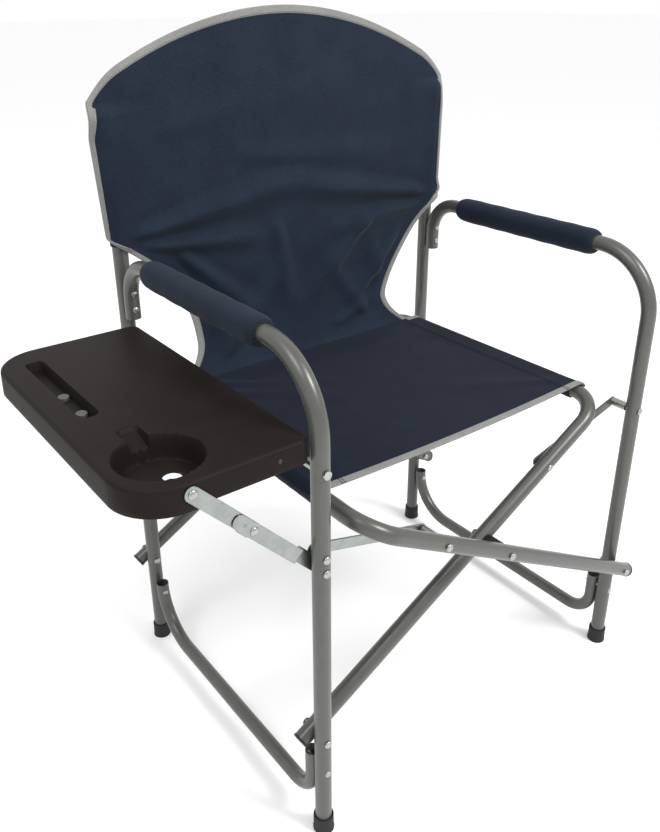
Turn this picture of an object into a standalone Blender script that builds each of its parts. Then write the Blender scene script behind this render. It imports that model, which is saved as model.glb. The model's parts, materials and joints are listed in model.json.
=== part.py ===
"""Folding camp chair with a drop-leaf side table, as separate pieces on their joint axes.

Metres, +Z up. The sitter faces -Y and the table is on the -X side, the sitter's right.
Every length below is taken in the chair's own centre line frame. One empty then moves the
whole chair along X so that the middle of its overall width is at x = 0.
"""
import math

import bmesh
import bpy
from mathutils import Vector

# ---------------------------------------------------------------- driving sizes
GAP = 0.0003             # between pieces that touch

LEG_RADIUS = 0.011       # steel tube of the legs, posts, arms and cross frames
TUBE_WALL = 0.0012
RAIL_RADIUS = 0.0095     # thinner tube of the lower side rails
TUBE_SIDES = 10
BEND_STEPS = 5           # straight pieces in a bend
PIN_SIDES = 8

LEG_X = 0.28             # half the distance between the two side frames' axes
LEG_Y = 0.2225           # half the distance from a front leg's axis to a rear post's
ARM_Z = 0.645
ARM_FRONT_BEND = 0.0875
ARM_REAR_BEND = 0.05
ARM_TAIL_LENGTH = 0.080  # arm tube running down in front of the rear post
POST_ABOVE_ARM = 0.180
SIDE_RAIL_Z = 0.036
SIDE_RAIL_TOP_Z = 0.116
SIDE_RAIL_FRONT_BEND = 0.04
SIDE_RAIL_REAR_BEND = 0.075

FOOT_WALL = 0.0016
FOOT_SOLE = 0.004
FOOT_HEIGHT = 0.024

SLEEVE_FRONT_GAP = 0.010 # from the arm's front bend
SLEEVE_REAR_GAP = 0.015
FOAM_THICKNESS = 0.005
COVER_THICKNESS = 0.0014

LOWER_PIVOT_Z = 0.152    # where a cross frame is pinned to a side frame
CROSS_Z = 0.310          # where the two cross frames are pinned together
SEAT_RAIL_INSET = 0.050  # from the side frames' axes
SEAT_RAIL_BEND = 0.045
CROSS_TAIL = 0.018       # tube beyond the lower pivot
PLANE_GAP = 0.0005       # side by side tubes of a scissor
PLUG_CAP = 0.003
PLUG_INSERT = 0.014
SPACER_RADIUS = 0.008
FOLDED_TILT = math.radians(66.0)   # slope of the cross tubes when folded

LINK_BELOW_ARM = 0.225
LINK_WIDTH = 0.014
LINK_THICKNESS = 0.0025

PIN_RADIUS = 0.003
PIN_CLEARANCE = 0.0007
HEAD_RADIUS = 0.0048
HEAD_HEIGHT = 0.002
HEAD_CROWN = 0.6         # a head's flat top and its straight side, of its radius and height
SHOULDER_RADIUS = 0.0065

TABLE_LEG_GAP = 0.001
TABLE_WIDTH = 0.193
TABLE_PAST_LEG = 0.0025  # front skirt, before the front leg's axis
TABLE_REAR_SETBACK = 0.0525
TABLE_BELOW_ARM = 0.077
TABLE_SKIRT = 0.026
TABLE_TOP_THICKNESS = 0.003
TABLE_WALL = 0.0025
TABLE_OUTER_CORNER = 0.045
TABLE_INNER_CORNER = 0.010
CUP_RADIUS = 0.045
CUP_OUTER_EDGE = 0.016   # flat left between the cup and the table's outer edge
CUP_FRONT_EDGE = 0.020
CUP_DEPTH = 0.0275
DRAIN_RADIUS = 0.010
NOTCH_WIDTH = 0.025
NOTCH_REACH = 0.023      # beyond the cup's rim
NOTCH_DEPTH = 0.014
TRAY_WIDTH = 0.022
TRAY_OUTER_EDGE = 0.029
TRAY_REAR_EDGE = 0.043
TRAY_NOTCH_EDGE = 0.044
TRAY_DEPTH = 0.013
RECESS_CORNER = 0.003
CUT_PAST = 0.02          # cutters run this far past what they cut

HINGE_ROD_RADIUS = 0.005
CLIP_RADIUS = 0.009
CLIP_LENGTH = 0.028
CLIP_REACH = 0.032       # foot of a clip under the table, from the rod outwards
CLIP_TONGUE = 0.008
CLIP_FRONT_EDGE = 0.095
CLIP_REAR_EDGE = 0.060
CLIP_CORNER = 0.001

STAY_WIDTH = 0.0165
STAY_THICKNESS = 0.002
STAY_TABLE_EDGE = 0.059  # table rivet from the table's outer edge
STAY_TABLE_DROP = 0.012  # table rivet below the table's top
STAY_FOOT_DROP = 0.018   # foot pivot below the link's
STAY_UPPER = 0.0885      # table rivet to elbow; the lower bar takes up the rest
STAY_OVERLAP = 0.022     # lower bar beyond the elbow
STAY_JOG_CLEAR = 0.026   # start of the jog past the leg's radius, clear of it in every position
STAY_JOG_RUN = 0.012

FABRIC = 0.0018
HEM_END_GAP = 0.001      # from the seat rail's bend
HEM_STEPS = 16
SEAT_FRONT_FREE = 0.009  # seat beyond its hems
SEAT_REAR_FREE = 0.033
PANEL_CORNER = 0.004
BACK_PAST_POST = 0.013
CROWN_RISE = 0.127       # above the rear posts
CROWN_ARC_RISE = 0.105   # the part of the crown that is an arc
CROWN_END = math.radians(88.0)   # where the arc's topmost row lies
POCKET_LENGTH = 0.162
WAIST_INSET = 0.100
WAIST_RISE = 0.047       # above the seat
WAIST_FOOT_INSET = 0.018 # from the seat rails
BACK_CURVE_RISE = 0.1471 # below this the back runs forward to the seat
BACK_ROWS = 8
BACK_COLUMNS = 10

# ---------------------------------------------------------------- what follows from them
PLANE_STEP = 2 * LEG_RADIUS + PLANE_GAP          # from a leg's plane to a cross tube's
CROSS_HALF = math.hypot(LEG_X, CROSS_Z - LOWER_PIVOT_Z)
TILT = math.atan2(CROSS_Z - LOWER_PIVOT_Z, LEG_X)
SEAT_RAIL_X = LEG_X - SEAT_RAIL_INSET
SEAT_RAIL_Z = LOWER_PIVOT_Z + (LEG_X + SEAT_RAIL_X) * math.tan(TILT)
SIDE_RAIL_Y = LEG_Y - LEG_RADIUS - RAIL_RADIUS - GAP
ARM_TAIL_Y = LEG_Y - PLANE_STEP
TUBE_BOTTOM_Z = FOOT_SOLE + GAP

POST_TOP_Z = ARM_Z + POST_ABOVE_ARM
ARM_TAIL_Z = ARM_Z - ARM_TAIL_LENGTH
SLEEVE_START_Y = -(LEG_Y - ARM_FRONT_BEND - SLEEVE_FRONT_GAP)
SLEEVE_END_Y = ARM_TAIL_Y - ARM_REAR_BEND - SLEEVE_REAR_GAP
LINK_LEG_Z = ARM_Z - LINK_BELOW_ARM

LINK_DROP = LINK_LEG_Z - LOWER_PIVOT_Z
LINK_ARM = LINK_DROP * CROSS_HALF / (2 * CROSS_HALF * (math.sin(TILT) + math.sin(FOLDED_TILT)) - LINK_DROP)
LINK_TUBE_X = LINK_ARM * math.cos(TILT)
LINK_TUBE_Z = CROSS_Z + LINK_ARM * math.sin(TILT)

COVER_RADIUS = LEG_RADIUS + GAP + FOAM_THICKNESS + GAP + COVER_THICKNESS

TABLE_INNER_X = -(LEG_X + LEG_RADIUS + TABLE_LEG_GAP)
TABLE_OUTER_X = TABLE_INNER_X - TABLE_WIDTH
TABLE_FRONT_Y = -(LEG_Y + TABLE_PAST_LEG)
TABLE_REAR_Y = LEG_Y - TABLE_REAR_SETBACK
TABLE_TOP_Z = ARM_Z - TABLE_BELOW_ARM
HINGE_Z = TABLE_TOP_Z - TABLE_SKIRT - CLIP_RADIUS - CLIP_TONGUE
CLIP_YS = (TABLE_FRONT_Y + CLIP_FRONT_EDGE, TABLE_REAR_Y - CLIP_REAR_EDGE)
CUP_X = TABLE_OUTER_X + CUP_OUTER_EDGE + CUP_RADIUS
CUP_Y = TABLE_FRONT_Y + CUP_FRONT_EDGE + CUP_RADIUS
NOTCH_END_Y = CUP_Y + CUP_RADIUS + NOTCH_REACH
TRAY_X = TABLE_OUTER_X + TRAY_OUTER_EDGE + TRAY_WIDTH / 2
TRAY_FRONT_Y = NOTCH_END_Y + TRAY_NOTCH_EDGE
TRAY_REAR_Y = TABLE_REAR_Y - TRAY_REAR_EDGE

STAY_TABLE_X = TABLE_OUTER_X + STAY_TABLE_EDGE
STAY_TABLE_Z = TABLE_TOP_Z - STAY_TABLE_DROP
STAY_FOOT_X = -LEG_X
STAY_FOOT_Z = LINK_LEG_Z - STAY_FOOT_DROP
STAY_JOG_START = LEG_RADIUS + STAY_JOG_CLEAR
STAY_SPAN = math.hypot(STAY_TABLE_X - STAY_FOOT_X, STAY_TABLE_Z - STAY_FOOT_Z)
STAY_LOWER = STAY_SPAN - STAY_UPPER
STAY_SLOPE = math.atan2(STAY_TABLE_Z - STAY_FOOT_Z, STAY_TABLE_X - STAY_FOOT_X)
ELBOW_X = STAY_FOOT_X + STAY_LOWER * math.cos(STAY_SLOPE)
ELBOW_Z = STAY_FOOT_Z + STAY_LOWER * math.sin(STAY_SLOPE)

SEAT_TOP_Z = SEAT_RAIL_Z + LEG_RADIUS + GAP + FABRIC
POCKET_RADIUS = LEG_RADIUS + GAP + FABRIC
POCKET_TOP_Z = POST_TOP_Z + 2 * GAP + FABRIC
HEM_HALF_LENGTH = LEG_Y - PLANE_STEP - SEAT_RAIL_BEND - HEM_END_GAP
SEAT_FRONT_Y = -(HEM_HALF_LENGTH + SEAT_FRONT_FREE)
SEAT_REAR_Y = HEM_HALF_LENGTH + SEAT_REAR_FREE
BACK_HALF_WIDTH = LEG_X + BACK_PAST_POST
BACK_CROWN_Z = POST_TOP_Z + CROWN_RISE
BACK_ARC_RADIUS = (BACK_HALF_WIDTH ** 2 + CROWN_ARC_RISE ** 2) / (2 * CROWN_ARC_RISE)
BACK_SIDE_LOW_Z = POST_TOP_Z - POCKET_LENGTH
WAIST_HALF_WIDTH = LEG_X - WAIST_INSET
WAIST_FOOT_HALF_WIDTH = SEAT_RAIL_X - WAIST_FOOT_INSET
WAIST_Z = SEAT_TOP_Z + WAIST_RISE
BACK_CURVE_Z = SEAT_TOP_Z + BACK_CURVE_RISE

TAIL_REACH = CROSS_TAIL + GAP + PLUG_CAP
CHAIR_HIGH_X = LEG_X + TAIL_REACH * math.cos(TILT) + LEG_RADIUS * math.sin(TILT)
CENTRING = -(CHAIR_HIGH_X + TABLE_OUTER_X) / 2   # puts the overall width's middle at x = 0

HALF_TURN = math.pi
ACROSS_Y = (math.pi / 2, 0.0, 0.0)               # stands a flat or turned shape in the XZ plane

# Moving bodies: parent body, then the x and z of the joint axis, which runs along Y.
BODIES = {
    "right_frame": (None, 0.0, 0.0),
    "frame_a": ("right_frame", -LEG_X, LOWER_PIVOT_Z),
    "frame_b": ("frame_a", 0.0, CROSS_Z),
    "left_frame": ("frame_b", LEG_X, LOWER_PIVOT_Z),
    "left_links": ("left_frame", LEG_X, LINK_LEG_Z),
    "right_links": ("right_frame", -LEG_X, LINK_LEG_Z),
    "seat": ("frame_a", SEAT_RAIL_X, SEAT_RAIL_Z),
    "table": ("right_frame", -LEG_X, HINGE_Z),
    "stay_upper": ("table", STAY_TABLE_X, STAY_TABLE_Z),
    "stay_lower": ("right_frame", STAY_FOOT_X, STAY_FOOT_Z),
}


# ---------------------------------------------------------------- scene helpers
def clear_scene():
    for leftover in list(bpy.data.objects):
        bpy.data.objects.remove(leftover, do_unlink=True)


def new_collection(name):
    collection = bpy.data.collections.new(name)
    bpy.context.scene.collection.children.link(collection)
    return collection


def new_material(name, red, green, blue, roughness, metallic=0.0):
    material = bpy.data.materials.new(name)
    material.use_nodes = True
    shader = material.node_tree.nodes["Principled BSDF"]
    shader.inputs["Base Color"].default_value = (red, green, blue, 1.0)
    shader.inputs["Roughness"].default_value = roughness
    shader.inputs["Metallic"].default_value = metallic
    return material


def body_empties():
    """One empty for each moving body on its joint axis, under one that centres the chair."""
    chair = bpy.data.objects.new("chair_centring", None)
    chair.location = (CENTRING, 0.0, 0.0)
    PARTS.objects.link(chair)
    empties = {}
    for name, (parent, x, z) in BODIES.items():
        empty = bpy.data.objects.new("axis_" + name, None)
        PARTS.objects.link(empty)
        if parent is None:
            empty.parent = chair
            empty.location = (x, 0.0, z)
        else:
            empty.parent = empties[parent]
            empty.location = (x - BODIES[parent][1], 0.0, z - BODIES[parent][2])
        empties[name] = empty
    return chair, empties


def place(piece, body, material):
    """Hang a piece on its body's axis without moving it."""
    x, z = BODIES[body][1:]
    piece.location -= Vector((x, 0.0, z))
    piece.parent = EMPTIES[body]
    piece.data.materials.clear()
    piece.data.materials.append(material)
    return piece


def as_cutter(piece):
    for collection in list(piece.users_collection):
        collection.objects.unlink(piece)
    CUTTERS.objects.link(piece)
    piece.parent = CHAIR
    piece.hide_render = True
    piece.display_type = "WIRE"
    return piece


def combine(piece, tool, operation):
    change = piece.modifiers.new(operation.lower(), "BOOLEAN")
    change.operation = operation
    change.solver = "EXACT"
    change.object = as_cutter(tool)


def to_mesh(curve_object):
    """Replace a curve object by its evaluated mesh, with the end caps welded on."""
    bpy.context.view_layer.update()
    evaluated = curve_object.evaluated_get(bpy.context.evaluated_depsgraph_get())
    mesh = bpy.data.meshes.new_from_object(evaluated)
    shape = bmesh.new()
    shape.from_mesh(mesh)
    bmesh.ops.remove_doubles(shape, verts=shape.verts, dist=1e-5)
    bmesh.ops.recalc_face_normals(shape, faces=shape.faces)
    shape.to_mesh(mesh)
    shape.free()
    name = curve_object.name
    location = curve_object.location.copy()
    rotation = curve_object.rotation_euler.copy()
    bpy.data.objects.remove(curve_object, do_unlink=True)
    piece = bpy.data.objects.new(name, mesh)
    piece.location = location
    piece.rotation_euler = rotation
    PARTS.objects.link(piece)
    return piece


# ---------------------------------------------------------------- shape helpers
def filleted(corners, radii, closed=False, steps=BEND_STEPS):
    """Straight runs joined by arcs: each corner with a radius becomes an arc tangent to both sides."""
    points = []
    for index, corner in enumerate(corners):
        radius = radii[index]
        end_of_path = not closed and index in (0, len(corners) - 1)
        if radius == 0 or end_of_path:
            points.append(corner)
            continue
        before = (corners[index - 1] - corner).normalized()
        after = (corners[(index + 1) % len(corners)] - corner).normalized()
        half = before.angle(after) / 2
        centre = corner + (before + after).normalized() * (radius / math.sin(half))
        start = corner + before * (radius / math.tan(half)) - centre
        finish = corner + after * (radius / math.tan(half)) - centre
        sweep = start.angle(finish)
        for step in range(steps + 1):
            share = step / steps
            arm = (start * math.sin((1 - share) * sweep) + finish * math.sin(share * sweep)) / math.sin(sweep)
            points.append(centre + arm)
    return points


def poly_spline(curve, points, closed):
    spline = curve.splines.new("POLY")
    spline.points.add(len(points) - 1)
    for target, point in zip(spline.points, points):
        target.co = (point[0], point[1], point[2] if len(point) > 2 else 0.0, 1.0)
    spline.use_cyclic_u = closed


def tube(name, points, radius, turn=0.0):
    """A round tube with open ends along a path, with its wall inside the stated radius."""
    curve = bpy.data.curves.new(name, "CURVE")
    curve.dimensions = "3D"
    curve.bevel_depth = radius
    curve.bevel_resolution = (TUBE_SIDES - 4) // 2
    curve.use_fill_caps = False
    poly_spline(curve, points, closed=False)
    carrier = bpy.data.objects.new(name, curve)
    PARTS.objects.link(carrier)
    piece = to_mesh(carrier)
    piece.rotation_euler = (0.0, 0.0, turn)
    piece.data.shade_smooth()
    wall = piece.modifiers.new("wall", "SOLIDIFY")
    wall.thickness = TUBE_WALL
    wall.offset = -1.0
    return piece


def flat(name, outline, holes, thickness):
    """A flat piece: outline and holes in the XY plane, thickness centred on z = 0."""
    curve = bpy.data.curves.new(name, "CURVE")
    curve.dimensions = "2D"
    curve.fill_mode = "BOTH"
    curve.extrude = thickness / 2
    poly_spline(curve, outline, closed=True)
    for hole in holes:
        poly_spline(curve, hole, closed=True)
    piece = bpy.data.objects.new(name, curve)
    PARTS.objects.link(piece)
    return to_mesh(piece)


def circle(x, y, radius, steps=16):
    return [Vector((x + radius * math.cos(2 * math.pi * k / steps),
                    y + radius * math.sin(2 * math.pi * k / steps))) for k in range(steps)]


def turned(name, profile, closed=False, steps=16):
    """A profile of (radius, height), down its outer side, turned about local Z."""
    mesh = bpy.data.meshes.new(name)
    count = len(profile)
    edges = [(k, k + 1) for k in range(count - 1)]
    if closed:
        edges.append((count - 1, 0))
    mesh.from_pydata([(radius, 0.0, height) for radius, height in profile], edges, [])
    piece = bpy.data.objects.new(name, mesh)
    PARTS.objects.link(piece)
    screw = piece.modifiers.new("turn", "SCREW")
    screw.steps = steps
    screw.render_steps = steps
    screw.use_merge_vertices = True
    screw.merge_threshold = 0.00001
    screw.use_smooth_shade = True
    return piece


def ring(name, inner, outer, start, end, steps=16):
    profile = [(outer, end), (outer, start), (inner, start), (inner, end)]
    return turned(name, profile, closed=True, steps=steps)


def stepped_pin(name, x, z, sections, back, turn=0.0):
    """A turned pin along Y at (x, z): sections are (front y, radius), the last ends at back."""
    profile = []
    for index, (front, radius) in enumerate(sections):
        rear = sections[index + 1][0] if index + 1 < len(sections) else back
        profile += [(radius, -front), (radius, -rear)]
    profile[0] = (profile[0][0] * HEAD_CROWN, profile[0][1])
    profile.insert(1, (sections[0][1], -(sections[0][0] + HEAD_HEIGHT * HEAD_CROWN)))
    profile = [(0.0, profile[0][1])] + profile + [(0.0, -back)]
    piece = turned(name, profile, steps=PIN_SIDES)
    piece.rotation_euler = (ACROSS_Y[0], 0.0, turn)
    spin = math.cos(turn)
    piece.location = (x * spin, 0.0, z)
    return piece


def bore(piece, x, z, y, radius, turn=0.0):
    """Drill a tube along Y, from just before to just behind its axis plane y."""
    spin = math.cos(turn)
    bpy.ops.mesh.primitive_cylinder_add(vertices=PIN_SIDES, radius=radius, depth=4 * LEG_RADIUS,
                                        location=(x * spin, y * spin, z), rotation=ACROSS_Y)
    tool = bpy.context.object
    tool.name = "bore_" + piece.name
    combine(piece, tool, "DIFFERENCE")


def strap_outline(x1, z1, x2, z2, width, steps=6):
    """A bar with round ends: two half circles about its end points, joined by straight sides."""
    direction = math.atan2(z2 - z1, x2 - x1)
    outline = []
    for x, z, start in ((x1, z1, direction + math.pi / 2), (x2, z2, direction - math.pi / 2)):
        for k in range(steps + 1):
            angle = start + math.pi * k / steps
            outline.append(Vector((x + width / 2 * math.cos(angle), z + width / 2 * math.sin(angle))))
    return outline


def strap(name, ends, width, y_front, y_back, holes, turn=0.0):
    """A flat bar in the XZ plane between y_front and y_back."""
    hole_loops = [circle(x, z, PIN_RADIUS + PIN_CLEARANCE, PIN_SIDES) for x, z in holes]
    piece = flat(name, strap_outline(*ends, width), hole_loops, y_back - y_front)
    piece.rotation_euler = (ACROSS_Y[0], 0.0, turn)
    piece.location = (0.0, (y_front + y_back) / 2 * math.cos(turn), 0.0)
    return piece


# ---------------------------------------------------------------- side frames
def side_frame(side, sign, body):
    """Arm tube with the front leg, rear post, lower rail, feet and arm pad of one side."""
    x = sign * LEG_X
    right_side = sign < 0
    hole = PIN_RADIUS + PIN_CLEARANCE
    heights = [LOWER_PIVOT_Z, LINK_LEG_Z]
    if right_side:
        heights += [STAY_FOOT_Z, HINGE_Z]

    arm_corners = [Vector((x, -LEG_Y, TUBE_BOTTOM_Z)), Vector((x, -LEG_Y, ARM_Z)),
                   Vector((x, ARM_TAIL_Y, ARM_Z)), Vector((x, ARM_TAIL_Y, ARM_TAIL_Z))]
    arm = tube("arm_tube_" + side, filleted(arm_corners, (0, ARM_FRONT_BEND, ARM_REAR_BEND, 0)), LEG_RADIUS)
    post = tube("rear_post_" + side, [Vector((x, LEG_Y, TUBE_BOTTOM_Z)), Vector((x, LEG_Y, POST_TOP_Z))],
                LEG_RADIUS)
    for z in heights:
        bore(arm, x, z, -LEG_Y, hole)
        bore(post, x, z, LEG_Y, hole)
    place(arm, body, FRAME_PAINT)
    place(post, body, FRAME_PAINT)

    rail_corners = [Vector((x, -SIDE_RAIL_Y, SIDE_RAIL_TOP_Z)), Vector((x, -SIDE_RAIL_Y, SIDE_RAIL_Z)),
                    Vector((x, SIDE_RAIL_Y, SIDE_RAIL_Z)), Vector((x, SIDE_RAIL_Y, SIDE_RAIL_TOP_Z))]
    rail_path = filleted(rail_corners, (0, SIDE_RAIL_FRONT_BEND, SIDE_RAIL_REAR_BEND, 0))
    place(tube("side_rail_" + side, rail_path, RAIL_RADIUS), body, FRAME_PAINT)

    for end, y in (("front", -LEG_Y), ("rear", LEG_Y)):
        inner = LEG_RADIUS + GAP
        outer = inner + FOOT_WALL
        profile = [(0.0, FOOT_SOLE), (inner, FOOT_SOLE), (inner, FOOT_HEIGHT), (outer, FOOT_HEIGHT),
                   (outer, 0.0), (0.0, 0.0)]
        foot = turned("foot_%s_%s" % (end, side), profile)
        foot.location = (x, y, 0.0)
        place(foot, body, BLACK_RUBBER)

    foam_inner = LEG_RADIUS + GAP
    cover_inner = COVER_RADIUS - COVER_THICKNESS
    inset = COVER_THICKNESS + GAP
    foam = ring("arm_foam_" + side, foam_inner, foam_inner + FOAM_THICKNESS,
                -(SLEEVE_END_Y - inset), -(SLEEVE_START_Y + inset))
    front, rear = -SLEEVE_START_Y, -SLEEVE_END_Y
    cover_profile = [(foam_inner, front), (COVER_RADIUS, front), (COVER_RADIUS, rear), (foam_inner, rear),
                     (foam_inner, rear + COVER_THICKNESS), (cover_inner, rear + COVER_THICKNESS),
                     (cover_inner, front - COVER_THICKNESS), (foam_inner, front - COVER_THICKNESS)]
    cover = turned("arm_cover_" + side, cover_profile, closed=True)
    for piece, material in ((foam, FOAM), (cover, NAVY_FABRIC)):
        piece.rotation_euler = ACROSS_Y
        piece.location = (x, 0.0, ARM_Z)
        place(piece, body, material)


# ---------------------------------------------------------------- cross frames
def cross_frame(name, turn):
    """A U of tube: up from the lower pivots, across as a seat rail. Its twin is turned half round."""
    front = -LEG_Y + PLANE_STEP
    rear = LEG_Y + PLANE_STEP
    tail_x = -LEG_X - CROSS_TAIL * math.cos(TILT)
    tail_z = LOWER_PIVOT_Z - CROSS_TAIL * math.sin(TILT)
    corners = [Vector((tail_x, front, tail_z)), Vector((SEAT_RAIL_X, front, SEAT_RAIL_Z)),
               Vector((SEAT_RAIL_X, rear, SEAT_RAIL_Z)), Vector((tail_x, rear, tail_z))]
    path = filleted(corners, (0, SEAT_RAIL_BEND, SEAT_RAIL_BEND, 0))
    frame = tube(name, path, LEG_RADIUS, turn)
    hole = PIN_RADIUS + PIN_CLEARANCE
    for y in (front, rear):
        for x, z in ((-LEG_X, LOWER_PIVOT_Z), (0.0, CROSS_Z), (LINK_TUBE_X, LINK_TUBE_Z)):
            bore(frame, x, z, y, hole, turn)
    place(frame, name, FRAME_PAINT)

    for end, y in (("front", front), ("rear", rear)):
        insert = LEG_RADIUS * math.cos(math.pi / TUBE_SIDES) - TUBE_WALL - GAP
        profile = [(0.0, PLUG_INSERT), (insert, PLUG_INSERT), (insert, 0.0), (LEG_RADIUS, 0.0),
                   (LEG_RADIUS, -PLUG_CAP), (0.0, -PLUG_CAP)]
        which = end if turn == 0.0 else {"front": "rear", "rear": "front"}[end]
        plug = turned("end_plug_%s_%s" % (which, name[-1]), profile)
        spin = math.cos(turn)
        seat_x = tail_x - GAP * math.cos(TILT)
        seat_z = tail_z - GAP * math.sin(TILT)
        plug.rotation_euler = (0.0, math.pi / 2 - TILT, turn)
        plug.location = (seat_x * spin, y * spin, seat_z)
        place(plug, name, BLACK_PLASTIC)


def scissor_fittings(end, turn):
    """Pivot pins and the crossing's spacer on one face of the chair, front or (turned) rear."""
    leg_front = -LEG_Y - LEG_RADIUS - GAP
    leg_back = -LEG_Y + LEG_RADIUS + GAP
    tube_a_back = -LEG_Y + PLANE_STEP + LEG_RADIUS + GAP
    tube_b_front = -LEG_Y - PLANE_STEP - LEG_RADIUS - GAP
    near, far = ("right", "left") if turn == 0.0 else ("left", "right")
    bodies = {"right": "right_frame", "left": "left_frame"}

    sections = [(leg_front - HEAD_HEIGHT, HEAD_RADIUS), (leg_front, PIN_RADIUS), (tube_a_back, HEAD_RADIUS)]
    pin = stepped_pin("pivot_pin_%s_%s" % (end, near), -LEG_X, LOWER_PIVOT_Z, sections,
                      tube_a_back + HEAD_HEIGHT, turn)
    place(pin, bodies[near], ZINC)
    sections = [(tube_b_front - HEAD_HEIGHT, HEAD_RADIUS), (tube_b_front, PIN_RADIUS), (leg_back, HEAD_RADIUS)]
    pin = stepped_pin("pivot_pin_%s_%s" % (end, far), LEG_X, LOWER_PIVOT_Z, sections,
                      leg_back + HEAD_HEIGHT, turn)
    place(pin, bodies[far], ZINC)

    sections = [(tube_b_front - HEAD_HEIGHT, HEAD_RADIUS), (tube_b_front, PIN_RADIUS), (tube_a_back, HEAD_RADIUS)]
    pin = stepped_pin("cross_pin_" + end, 0.0, CROSS_Z, sections, tube_a_back + HEAD_HEIGHT, turn)
    place(pin, "frame_a", ZINC)
    half = PLANE_STEP - LEG_RADIUS - GAP
    spacer = ring("cross_spacer_" + end, PIN_RADIUS + PIN_CLEARANCE, SPACER_RADIUS, -half, half)
    spacer.rotation_euler = ACROSS_Y
    spacer.location = (0.0, -LEG_Y * math.cos(turn), CROSS_Z)
    place(spacer, "frame_a", BLACK_PLASTIC)


def link(name, body, frame, x_sign, leg_shoulder, beside_stay, turn):
    """A strap from a leg to a cross tube. One of its two pivots has a shoulder as long as a tube is wide.

    The strap leaves room for a table stay's foot against the leg, and a shoulder fills that room
    on the side that has no stay.
    """
    stay_room = STAY_THICKNESS + GAP
    leg_front = -LEG_Y - LEG_RADIUS - GAP
    leg_back = -LEG_Y + LEG_RADIUS + GAP
    if leg_shoulder:
        cross_y = -LEG_Y + PLANE_STEP
        strap_front = cross_y + LEG_RADIUS + 2 * GAP
    else:
        cross_y = -LEG_Y - PLANE_STEP
        strap_front = leg_back + GAP + stay_room
    strap_back = strap_front + LINK_THICKNESS
    leg_x = x_sign * LEG_X
    tube_x = x_sign * LINK_TUBE_X

    bar = strap(name, (leg_x, LINK_LEG_Z, tube_x, LINK_TUBE_Z), LINK_WIDTH, strap_front, strap_back,
                [(leg_x, LINK_LEG_Z)], turn)
    sunk = LINK_THICKNESS / 2
    tail = stepped_pin(name + "_rivet_tail", tube_x, LINK_TUBE_Z, [(strap_back - sunk, HEAD_RADIUS)],
                       strap_back + HEAD_HEIGHT, turn)
    combine(bar, tail, "UNION")
    place(bar, body, ZINC)

    sections = [(leg_front - HEAD_HEIGHT, HEAD_RADIUS), (leg_front, PIN_RADIUS)]
    if leg_shoulder or not beside_stay:
        shoulder_start = leg_back + (stay_room if beside_stay else 0.0)
        sections += [(shoulder_start, SHOULDER_RADIUS), (strap_front - GAP, PIN_RADIUS)]
    sections.append((strap_back + GAP, HEAD_RADIUS))
    pin = stepped_pin(name + "_leg_pin", leg_x, LINK_LEG_Z, sections, strap_back + GAP + HEAD_HEIGHT, turn)
    leg_body = BODIES[body][0]
    place(pin, leg_body, ZINC)

    tube_front = cross_y - LEG_RADIUS - GAP
    tube_back = cross_y + LEG_RADIUS + GAP
    sections = [(tube_front - HEAD_HEIGHT, HEAD_RADIUS), (tube_front, PIN_RADIUS)]
    if not leg_shoulder:
        sections.append((tube_back, SHOULDER_RADIUS))
    pin = stepped_pin(name + "_tube_pin", tube_x, LINK_TUBE_Z, sections, strap_front - GAP, turn)
    place(pin, frame, ZINC)


# ---------------------------------------------------------------- table
def table_outline(inset):
    low_x, high_x = TABLE_OUTER_X + inset, TABLE_INNER_X - inset
    low_y, high_y = TABLE_FRONT_Y + inset, TABLE_REAR_Y - inset
    corners = [Vector((low_x, low_y)), Vector((high_x, low_y)), Vector((high_x, high_y)), Vector((low_x, high_y))]
    radii = [TABLE_OUTER_CORNER - inset, TABLE_INNER_CORNER - inset, TABLE_INNER_CORNER - inset,
             TABLE_OUTER_CORNER - inset]
    return filleted(corners, radii, closed=True)


def slab(name, outline, low, high):
    """A flat piece lying between two heights."""
    piece = flat(name, outline, [], high - low)
    piece.location = (0.0, 0.0, (low + high) / 2)
    return piece


def box_outline(low_x, high_x, low_y, high_y, corner):
    corners = [Vector((low_x, low_y)), Vector((high_x, low_y)), Vector((high_x, high_y)), Vector((low_x, high_y))]
    return filleted(corners, [corner] * 4, closed=True, steps=4)


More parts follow.
